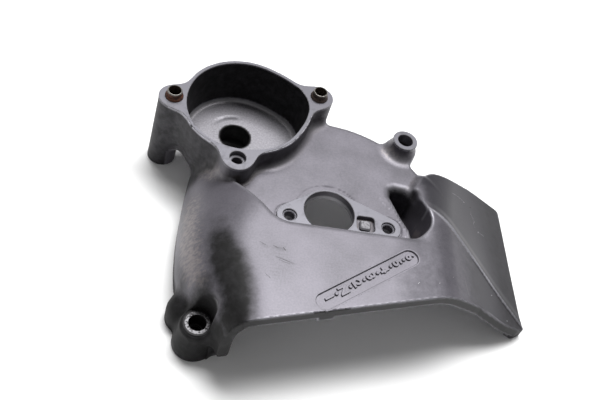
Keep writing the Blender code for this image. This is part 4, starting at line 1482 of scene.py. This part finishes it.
@dataclass
class CastingBody:
    """The painted casting, grown from its distance field."""

    sizes: CoverSizes
    paint: bpy.types.Material
    shaded_lip_paint: bpy.types.Material
    low: tuple[float, float, float] = (-115.0, -104.0, -1.6)
    high: tuple[float, float, float] = (136.0, 106.0, 58.4)
    cell: float = 1.27
    quick_cell: float = 2.0
    crevice_reach: float = 2.6
    edge_reach: float = 1.1
    corner_inset: float = 0.18
    lip_depth: float = 0.45

    def build(self) -> bpy.types.Object:
        """Make the casting in place of its CAD node.

        Returns:
            The piece.
        """
        form = CastingForm(self.sizes)
        cell = self.cell
        points, quads = SurfaceGrid(form, self.low, self.high, cell).surface()
        mesh = self.meshed(points, quads)
        self.dress(form, mesh)
        piece = finished("casting_body", mesh, (self.paint, self.shaded_lip_paint))
        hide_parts("cover_casting")
        return piece

    def meshed(self, points: Array, quads: Array) -> bpy.types.Mesh:
        """Make one closed mesh.

        Args:
            points: Its points, in rows.
            quads: Its four-sided faces, as rows of four point numbers.

        Returns:
            The mesh, still in millimetres.
        """
        mesh = bpy.data.meshes.new("casting_body")
        mesh.vertices.add(len(points))
        mesh.vertices.foreach_set("co", np.ascontiguousarray(points).ravel())
        mesh.loops.add(quads.size)
        mesh.loops.foreach_set("vertex_index", quads.astype(np.int32).ravel())
        mesh.polygons.add(len(quads))
        mesh.polygons.foreach_set("loop_start", np.arange(0, quads.size, 4, dtype=np.int32))
        mesh.update(calc_edges=True)
        mesh.validate()
        return mesh

    def dress(self, form: CastingForm, mesh: bpy.types.Mesh) -> None:
        """Shade the mesh as the form faces, mark it, and bring it to the row frame.

        Args:
            form: The casting's form.
            mesh: The mesh, in millimetres.
        """
        place = read_all(mesh.vertices, "co", float, 3).reshape(-1, 3)
        corners = read_all(mesh.loops, "vertex_index", np.int32)
        totals = read_all(mesh.polygons, "loop_total", np.int32)
        face = np.repeat(np.arange(len(totals)), totals)
        middle = np.array([np.bincount(face, weights=place[corners, a]) for a in range(3)])
        middle = (middle / totals).T
        near = place[corners] + self.corner_inset * (middle[face] - place[corners])
        facing = np.ascontiguousarray(form.facing(near.T).T)
        normals = np.array([np.bincount(corners, weights=facing[:, a], minlength=len(place))
                            for a in range(3)])
        normals /= np.linalg.norm(normals, axis=0) + 1e-9
        for name, value in self.marks(form, place, normals).items():
            layer = mesh.attributes.new(name, "FLOAT", "POINT")
            layer.data.foreach_set("value", value.astype(np.float32))
        # The front lips take the dark paint, which paints shade on them.
        ahead = form.front(Points(*middle.T)) > -self.lip_depth
        mesh.polygons.foreach_set("material_index", ahead.astype(np.int32))
        mesh.vertices.foreach_set("co", np.ascontiguousarray(row_points(place)).ravel())
        mesh.shade_smooth()
        mesh.normals_split_custom_set(facing.tolist())
        mesh.update()

    def marks(self, form: CastingForm, place: Array, normals: Array) -> dict[str, Array]:
        """Work out how dirty and how worn the casting is, and where light and shade are painted on
        it.

        Args:
            form: The casting's form.
            place: The places, in rows.
            normals: Which way the casting faces there, as three rows.

        Returns:
            One array for each kind of mark.
        """
        out = form.distance(Points(*(place.T + normals * self.crevice_reach)))
        inner = form.distance(Points(*(place.T - normals * self.edge_reach)))
        values = SurfaceMarks(form, place, normals.T).values()
        values["crevice"] = np.clip(1.0 - out / self.crevice_reach, 0.0, 1.0)
        values["edge"] = np.clip(1.0 + inner / self.edge_reach, 0.0, 1.0)
        beside = form.slot_off(Points(*place.T)) < form.sizes.slot_width
        for name in ("edge", "crevice"):
            values[name] *= ~(beside & (place[:, 2] > 50.0))
        return values


@dataclass
class MilledPlate:
    """A flat face cut by a milling tool, with a fine bright edge round it."""

    name: str
    outline: Outline
    holes: list[Outline]
    bottom: float
    top: float
    chamfer: float = 0.3
    ring_chamfers: tuple[float, ...] = ()
    crease: float = 24.0

    def rings(self) -> list[Outline]:
        """Give the outline anticlockwise and the holes clockwise.

        Returns:
            The outline and then the holes.
        """
        result = []
        for index, ring in enumerate([self.outline] + self.holes):
            area = sum(ring[i - 1][0] * p[1] - p[0] * ring[i - 1][1]
                       for i, p in enumerate(ring))
            wanted = area > 0.0 if index == 0 else area < 0.0
            result.append(ring if wanted else ring[::-1])
        return result

    def inset(self, ring: Outline, chamfer: float) -> Outline:
        """Draw a ring in towards the metal.

        Args:
            ring: The ring.
            chamfer: How far it is drawn in.

        Returns:
            The smaller outline, or the larger hole.
        """
        moved = []
        for before, here, after in zip(ring[-1:] + ring, ring, ring[1:] + ring[:1]):
            tangent = Vector((after[0] - before[0], after[1] - before[1])).normalized()
            moved.append((here[0] - tangent.y * chamfer, here[1] + tangent.x * chamfer))
        return moved

    def build(self, coats: Coats) -> bpy.types.Object:
        """Make the plate.

        Args:
            coats: The materials of its top, its chamfer and its sides.

        Returns:
            The piece.
        """
        rings = self.rings()
        chamfers = self.ring_chamfers or (self.chamfer,) * len(rings)
        tops = [self.inset(ring, chamfer) for ring, chamfer in zip(rings, chamfers)]
        levels = ((rings, self.bottom), (rings, self.top - self.chamfer), (tops, self.top))
        points = [(x, y, height) for level_rings, height in levels
                  for ring in level_rings for x, y in ring]
        layer = len(points) // len(levels)
        faces: list[tuple[int, ...]] = []
        numbers: list[int] = []
        for level, number in ((0, 2), (1, 1)):
            low = level * layer
            for ring in rings:
                count = len(ring)
                high = low + layer
                for i in range(count):
                    after = (i + 1) % count
                    faces.append((low + i, low + after, high + after, high + i))
                    numbers.append(number)
                low += count
        for start, level_rings, flip in ((2 * layer, tops, False), (0, rings, True)):
            loops = [[Vector((x, y, 0.0)) for x, y in ring] for ring in level_rings]
            flat = [corner for loop in loops for corner in loop]
            for a, b, c in tessellate_polygon(loops):
                turn = (flat[b] - flat[a]).cross(flat[c] - flat[a]).z
                order = (a, b, c) if (turn > 0.0) != flip else (a, c, b)
                faces.append(tuple(start + corner for corner in order))
                numbers.append(2 if flip else 0)
        return finished(self.name, creased_mesh(self.name, points, faces, numbers, self.crease),
                        coats)


@dataclass
class MilledFaces:
    """The faces that were cut after casting."""

    sizes: CoverSizes
    milled: Coats
    ground: Coats
    drilled: Coats
    worn: Coats
    grimy_and_shaded: Coats
    rim_sides: int = 240
    rim_knock: float = 0.7
    rim_depth: float = 1.3
    rim_chamfer: float = 0.28
    plate_depth: float = 1.2
    pad_edge: float = 1.4
    screw_opening: float = 4.3
    screw_drop: float = 1.1
    boss_side: float = 6.9
    boss_corner: float = 1.6
    boss_drop: float = 0.9
    boss_chamfer: float = 0.8
    inner_chamfer: float = 0.5
    worn_chamfers: tuple[float, ...] = (1.0, 0.2)
    front_ledge_depth: float = 3.4
    clearance: float = 0.1

    def rim(self) -> None:
        """Make the cup's rim with its three seats."""
        s = self.sizes
        outline = rim_outline(s, s.rim_rounds(), self.clearance, self.rim_sides)
        inner = rim_outline(s, s.cup_rounds(), s.hollow_growth, self.rim_sides, self.rim_knock)
        seats = [circle_points(place, s.seat_radius) for place in
                 (s.left_boss, s.right_boss, s.front_boss)]
        MilledPlate("rim_face", outline, [inner] + seats, s.rim_top - self.rim_depth, s.rim_top,
                    self.rim_chamfer).build(self.milled)

    def pad(self) -> None:
        """Make the actuator's pad, its bore, screw holes and square recess."""
        s = self.sizes
        corners = circle_points((0.0, 0.0), s.bore_radius + self.pad_edge, 72)
        for place in s.pad_holes:
            corners += circle_points(place, s.pad_lobe_radius, 36)
        holes = [circle_points((0.0, 0.0), s.bore_radius, 96),
                 rounded_square(s.recess_place, s.recess_side, s.recess_corner)]
        holes += [circle_points(place, self.screw_opening, 40) for place in s.pad_holes]
        MilledPlate("pad_face", hull(corners), holes, s.plate_top - self.plate_depth,
                    s.pad_top).build(self.milled)
        boss = rounded_square(s.recess_place, self.boss_side, self.boss_corner)
        MilledPlate("square_boss", boss, [], s.plate_top - 3.0, s.pad_top - self.boss_drop,
                    self.boss_chamfer).build(self.ground)
        for number, place in enumerate(s.pad_holes):
            ring = circle_points(place, self.screw_opening + self.clearance, 40)
            MilledPlate(f"screw_hole_{number}", ring,
                        [circle_points(place, s.pad_hole_radius, 40)], s.plate_top - 4.0,
                        s.pad_top - self.screw_drop, self.inner_chamfer).build(self.drilled)

    def rings(self) -> None:
        """Make the post's and the lug's faces, which their screws bear on."""
        s = self.sizes
        MilledPlate("post_ring", circle_points(s.post, s.post_radius, 64),
                    [circle_points(s.post, s.seat_radius)], s.post_top - self.plate_depth,
                    s.post_top).build(self.milled)
        MilledPlate("lug_ring", circle_points(s.lug, s.lug_ring_radius, 64),
                    [circle_points(s.lug, s.seat_radius)], s.lug_face_top - self.plate_depth,
                    s.lug_face_top, 0.4, self.worn_chamfers).build(self.worn)
        full_depth = s.seat_depth - self.clearance
        ledges = [(s.front_boss, s.rim_top, self.front_ledge_depth, self.milled),
                  (s.post, s.post_top, full_depth, self.milled),
                  (s.lug, s.lug_face_top, full_depth, self.grimy_and_shaded)]
        for number, (place, top, depth, coats) in enumerate(ledges):
            MilledPlate(f"seat_ledge_{number}", circle_points(place, s.seat_radius + 0.2),
                        [circle_points(place, s.bolt_radius - self.clearance, 40)],
                        top - s.seat_depth - 1.0, top - depth, self.inner_chamfer).build(coats)


def hull(points: Outline) -> Outline:
    """Give the convex outline round points.

    Args:
        points: The points.

    Returns:
        The outline's corners, anticlockwise.
    """
    ordered = sorted(set(points))
    halves = []
    for sequence in (ordered, ordered[::-1]):
        half: Outline = []
        for p in sequence:
            while len(half) > 1 and ((half[-1][0] - half[-2][0]) * (p[1] - half[-2][1])
                                     - (half[-1][1] - half[-2][1]) * (p[0] - half[-2][0])) <= 0:
                half.pop()
            half.append(p)
        halves.append(half[:-1])
    return halves[0] + halves[1]


def rounded_square(centre: Place, side: float, radius: float) -> Outline:
    """Give a square outline with rounded corners.

    Args:
        centre: The square's middle.
        side: Its side.
        radius: The radius of its corners.

    Returns:
        The outline's points, anticlockwise.
    """
    reach = 0.5 * side - radius
    result: Outline = []
    for turn, (sx, sy) in enumerate(((1, 1), (-1, 1), (-1, -1), (1, -1))):
        result += arc_points((centre[0] + sx * reach, centre[1] + sy * reach), radius,
                             90.0 * turn, 90.0 * turn + 90.0, 8)
    return result


@dataclass
class DowelSleeve:
    """A hollow steel dowel that stands in its seat in the rim."""

    name: str
    node: str
    slot: Slot
    centre: Place
    coats: Coats
    outer: float = 4.7
    inner: float = 3.9
    bottom: float = 47.0
    top: float = 61.0
    crust: float = 1.0
    sides: int = 72
    crease: float = 40.0

    def profile(self) -> list[tuple[float, float, int]]:
        """Give the outline of the sleeve's wall, up the outside and down the bore.

        Returns:
            The radius, the height and the number of the coat for each step.
        """
        out, low, top, crust = self.outer, self.bottom, self.top, self.crust
        outside = [(self.inner + 0.2, low), (out - 0.4, low), (out, low + 0.4), (out, top - 5.2),
                   (out + crust, top - 5.1), (out + crust, top - 4.4),
                   (out + 0.6 * crust, top - 3.6), (out, top - 3.1)]
        lip = [(out, top - 0.75), (out - 0.12, top - 0.35), (out - 0.32, top - 0.06),
               (out - 0.42, top), (self.inner + 0.14, top)]
        bore = [(self.inner, top - 0.16), (self.inner, low + 0.2)]
        return [(radius, height, number) for number, part in enumerate((outside, lip, bore))
                for radius, height in part]

    def build(self) -> bpy.types.Object:
        """Turn the sleeve's profile round its axis.

        Returns:
            The piece.
        """
        profile = self.profile()
        points = []
        for step in range(self.sides):
            turn = 2.0 * math.pi * step / self.sides
            points += [(self.centre[0] + radius * math.cos(turn),
                        self.centre[1] + radius * math.sin(turn), height)
                       for radius, height, _ in profile]
        faces, numbers = [], []
        count = len(profile)
        for step in range(self.sides):
            this, after = step * count, (step + 1) % self.sides * count
            for k, (_, _, number) in enumerate(profile):
                up = (k + 1) % count
                faces.append((this + k, after + k, after + up, this + up))
                numbers.append(number)
        mesh = creased_mesh(self.name, points, faces, numbers, self.crease)
        piece = finished(self.name, mesh, self.coats)
        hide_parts(self.node)
        return piece


@dataclass
class GearPattern:
    """The raised gear numbers in the roof's slot, generic as on any gearbox."""

    sizes: CoverSizes
    paint: bpy.types.Material
    marks: str = "1N23456"
    first: Place = (-4.4, -67.6)
    last: Place = (44.0, -33.4)
    height: float = 5.3
    letter_share: float = 0.69
    stroke_growth: float = 0.24
    stroke_round: float = 0.12
    rise: float = 0.95
    sunk: float = 0.1
    dot_radius: float = 1.15

    def build(self) -> None:
        """Make the slot, the numbers and the dots between them."""
        s = self.sizes
        painted = (self.paint,) * 3
        floor = s.roof_top - s.slot_depth
        MilledPlate("gear_slot_edge", self.slot_outline(0.95), [self.slot_outline(0.0)],
                    floor - 1.0, s.roof_top + 0.01, 0.3, (0.02, 0.3)).build(painted)
        MilledPlate("gear_slot_floor", self.slot_outline(0.4), [], floor - 0.5, floor,
                    0.1).build(painted)
        start, end = Vector(self.first), Vector(self.last)
        gap = (end - start) / (len(self.marks) - 1)
        for number, mark in enumerate(self.marks):
            self.mark(f"gear_mark_{number}", mark, start + gap * number, floor)
        for number in range(len(self.marks) - 1):
            centre = start + gap * (number + 0.5)
            ring = circle_points((centre.x, centre.y), self.dot_radius, 20)
            MilledPlate(f"gear_dot_{number}", ring, [], floor - 0.2, floor + self.rise,
                        0.35).build(painted)

    def slot_outline(self, growth: float) -> Outline:
        """Give the slot's outline, a long one with round ends.

        Args:
            growth: How far it stands outside the slot itself.

        Returns:
            The outline's points, anticlockwise.
        """
        s = self.sizes
        radius = 0.5 * s.slot_width + growth
        turn = s.slot_angle
        return (arc_points(s.slot_end(), radius, turn - 90.0, turn + 90.0, 24)
                + arc_points(s.slot_start, radius, turn + 90.0, turn + 270.0, 24))

    def mark(self, name: str, text: str, centre: Vector, floor: float) -> None:
        """Make one number, its top towards the last one.

        Args:
            name: The piece's name.
            text: The number.
            centre: Its middle in plan.
            floor: The height of the slot's floor.
        """
        curve = bpy.data.curves.new(name, "FONT")
        curve.body = text
        curve.size = self.height / self.letter_share * MM
        curve.extrude = 0.5 * self.rise * MM
        curve.offset = self.stroke_growth * MM
        curve.bevel_depth = self.stroke_round * MM
        curve.bevel_resolution = 1
        curve.resolution_u = 6
        holder = in_scene("gear_text", curve)
        graph = bpy.context.evaluated_depsgraph_get()
        mesh = bpy.data.meshes.new_from_object(holder.evaluated_get(graph))
        bpy.data.objects.remove(holder)
        low = [min(v.co[a] for v in mesh.vertices) for a in range(3)]
        high = [max(v.co[a] for v in mesh.vertices) for a in range(3)]
        middle = Vector([0.5 * (low[a] + high[a]) for a in range(3)])
        height = floor - self.sunk + 0.5 * self.rise
        place = Vector(row_points(np.array([centre.x, centre.y, height])))
        turn = Matrix.Rotation(math.radians(self.sizes.slot_angle - 90.0), 4, "Z")
        mesh.transform(Matrix.Translation(place) @ turn @ Matrix.Translation(-middle))
        mesh.materials.clear()
        finished(name, mesh, (self.paint,))


@dataclass
class SurfaceScratches:
    """Fine scratches and chips, each a thin ribbon that lies on the casting."""

    casting: bpy.types.Object
    bright: bpy.types.Material
    dull: bpy.types.Material
    lift: float = 0.03
    step: float = 0.8
    ceiling: float = 90.0
    bright_lines: tuple[tuple[Line, float], ...] = (
        (((83.7, 34.2), (90.0, 35.6), (95.6, 34.6)), 0.45),
        (((101.2, 31.0), (100.6, 27.6), (103.2, 23.5), (101.4, 19.6), (102.6, 16.6)), 0.4),
        (((104.0, 15.4), (108.0, 16.0), (111.0, 16.2)), 0.5),
        (((104.6, 14.6), (105.6, 16.2)), 1.3), (((80.4, -36.0), (81.6, -43.0), (83.0, -49.0)), 0.3),
        (((94.6, 34.0), (96.2, 35.0)), 0.9), (((105.8, -33.9), (106.8, -33.1)), 0.8),
        (((117.8, -45.2), (119.0, -44.6)), 0.9), (((47.3, -51.6), (48.2, -50.4)), 0.5),
        (((60.0, -49.5), (60.8, -49.0)), 0.6), (((70.2, -42.2), (70.9, -41.6)), 0.5))
    dull_lines: tuple[tuple[Line, float], ...] = (
        (((-36.0, -38.6), (-33.0, -40.0)), 0.5), (((-35.0, -45.6), (-24.6, -48.8)), 0.35),
        (((-33.0, -47.6), (-26.0, -49.8)), 0.25), (((-40.2, -57.6), (-37.0, -60.4)), 0.3),
        (((-44.0, -37.0), (-39.0, -39.6)), 0.3), (((101.0, 34.2), (102.4, 35.0)), 1.5),
        (((-30.4, -39.0), (-29.0, -41.0)), 0.8))

    def track(self, line: Line) -> Outline:
        """Divide a line into short steps.

        Args:
            line: The line's points in plan.

        Returns:
            The points of all the steps.
        """
        track: Outline = []
        for (ax, ay), (bx, by) in zip(line, line[1:]):
            count = max(1, int(math.hypot(bx - ax, by - ay) / self.step))
            track += [(ax + (bx - ax) * k / count, ay + (by - ay) * k / count)
                      for k in range(count)]
        return track + [line[-1]]

    def ribbon(self, mesh: bmesh.types.BMesh, tree: BVHTree, line: Line, width: float,
               material: int) -> None:
        """Lay a ribbon along a line, thinner at its ends.

        Args:
            mesh: The mesh that it is added to.
            tree: The casting's faces.
            line: Its points in plan.
            width: Its width in the middle.
            material: Its material's number.
        """
        track = self.track(line)
        pairs = []
        for index, (x, y) in enumerate(track):
            start = Vector(row_points(np.array([x, y, self.ceiling])))
            hit, normal, _, _ = tree.ray_cast(start, Vector((0.0, 0.0, -1.0)))
            if hit is None:
                continue
            before = track[max(index - 1, 0)]
            after = track[min(index + 1, len(track) - 1)]
            way = Vector((after[0] - before[0], after[1] - before[1], 0.0)).normalized()
            side = way.cross(normal).normalized()
            taper = math.sin(math.pi * (index + 0.5) / len(track)) ** 0.6
            uneven = 0.7 + 0.3 * math.sin(index * 2.1 + x)
            half = 0.5 * width * taper * uneven * MM
            centre = hit + normal * self.lift * MM
            pairs.append(tuple(mesh.verts.new(centre + side * off) for off in (-half, half)))
        for (a, b), (c, d) in zip(pairs, pairs[1:]):
            mesh.faces.new((a, b, d, c)).material_index = material

    def build(self) -> bpy.types.Object:
        """Make all the ribbons as one piece.

        Returns:
            The piece.
        """
        tree = BVHTree.FromObject(self.casting, bpy.context.evaluated_depsgraph_get())
        mesh = bmesh.new()
        for material, group in enumerate((self.bright_lines, self.dull_lines)):
            for line, width in group:
                self.ribbon(mesh, tree, line, width, material)
        data = bpy.data.meshes.new("surface_scratches")
        mesh.to_mesh(data)
        mesh.free()
        return finished("surface_scratches", data, (self.bright, self.dull))


@dataclass
class Studio:
    """The floor, the lamps, the room and the camera."""

    floor_half: float = 6.0
    lamp_distance: float = 2.5
    lamp_elevation: float = 70.0
    lamp_azimuth: float = 78.0
    lamp_sides: tuple[float, float] = (1.75, 0.95)
    lamp_power: float = 96.0
    room_level: float = 0.25
    lens: float = 51.0
    sensor: float = 36.0
    camera_elevation: float = 49.8
    camera_roll: float = 20.5
    camera_place: tuple[float, float, float] = (-0.12057701, -0.31731937, 0.43286527)

    def floor(self) -> None:
        """Lay the white board."""
        mesh = bpy.data.meshes.new("studio_floor")
        h = self.floor_half
        mesh.from_pydata([(-h, -h, 0.0), (h, -h, 0.0), (h, h, 0.0), (-h, h, 0.0)], [],
                         [(0, 1, 2, 3)])
        board = in_scene("studio_floor", mesh)
        mesh.materials.append(StudioSweep().build())

    def lamps(self) -> None:
        """Hang a large softbox high behind the cover."""
        lamp = bpy.data.lights.new("softbox", "AREA")
        lamp.shape = "RECTANGLE"
        lamp.size, lamp.size_y = self.lamp_sides
        lamp.energy = self.lamp_power
        up, turn = math.radians(self.lamp_elevation), math.radians(self.lamp_azimuth)
        way = Vector((math.cos(up) * math.cos(turn), math.cos(up) * math.sin(turn),
                      math.sin(up)))
        holder = in_scene("softbox", lamp)
        holder.location = way * self.lamp_distance
        holder.rotation_euler = way.to_track_quat("Z", "Y").to_euler()

    def room(self) -> None:
        """Fill the room with plain light."""
        world = bpy.data.worlds.new("studio_room")
        world.use_nodes = True
        tree = world.node_tree
        tree.nodes.clear()
        light = add_node(tree, "Background", {}, {"Color": (1.0, 1.0, 1.0, 1.0),
                                                  "Strength": self.room_level})
        add_node(tree, "OutputWorld", {}, {"Surface": light.outputs[0]})
        bpy.context.scene.world = world

    def camera(self) -> None:
        """Set the camera where the photograph was taken from."""
        up, roll = math.radians(self.camera_elevation), math.radians(self.camera_roll)
        plane = Vector((math.cos(up) * math.sin(roll), math.cos(up) * math.cos(roll),
                        math.sin(up)))
        along = (Vector((1.0, 0.0, 0.0)) - plane * plane.x).normalized()
        camera = bpy.data.cameras.new("camera")
        camera.lens = self.lens
        camera.sensor_width = self.sensor
        holder = in_scene("camera", camera)
        turn = Matrix((along, plane.cross(along), plane)).to_4x4()
        holder.matrix_world = Matrix.Translation(self.camera_place) @ turn
        bpy.context.scene.camera = holder

    def build(self) -> None:
        """Set up the studio."""
        self.floor()
        self.lamps()
        self.room()
        self.camera()
        LOG.info("studio: floor, softbox, room and camera")


def main() -> None:
    """Build the cover's pieces over the frame."""
    logging.basicConfig(level=logging.INFO, format="%(name)s: %(message)s")
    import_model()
    bpy.context.scene.view_settings.view_transform = "Standard"
    sizes = CoverSizes()
    paint = GunmetalPaint().build()
    face, edge, worn = MILLED_FACE.build(), BARE_EDGE.build(), WORN_RING.build()
    lip, bore = SLEEVE_LIP.build(), SLEEVE_BORE.build()
    Studio().build()
    grimy_and_shaded = GRIMY_AND_SHADED_PAINT.build()
    casting = CastingBody(sizes, paint, grimy_and_shaded).build()
    SurfaceScratches(casting, SCRATCH.build(), grimy_and_shaded).build()
    ground = GROUND_BOSS.build()
    milled = MilledFaces(sizes, milled=(face, edge, paint), ground=(ground, ground, paint),
                         drilled=(face, face, paint), worn=(worn, grimy_and_shaded, grimy_and_shaded),
                         grimy_and_shaded=(grimy_and_shaded, grimy_and_shaded, paint))
    milled.rim()
    milled.pad()
    milled.rings()
    DowelSleeve("rusty_sleeve", "dowel_sleeve_left", Slot.RUSTY_DOWEL, sizes.left_boss,
                (RUSTY_SLEEVE.build(), lip, bore)).build()
    DowelSleeve("oily_sleeve", "dowel_sleeve_right", Slot.DARK_DOWEL, sizes.right_boss,
                (DARK_SLEEVE.build(), lip, bore)).build()
    GearPattern(sizes, paint).build()


if __name__ == "__main__":
    main()
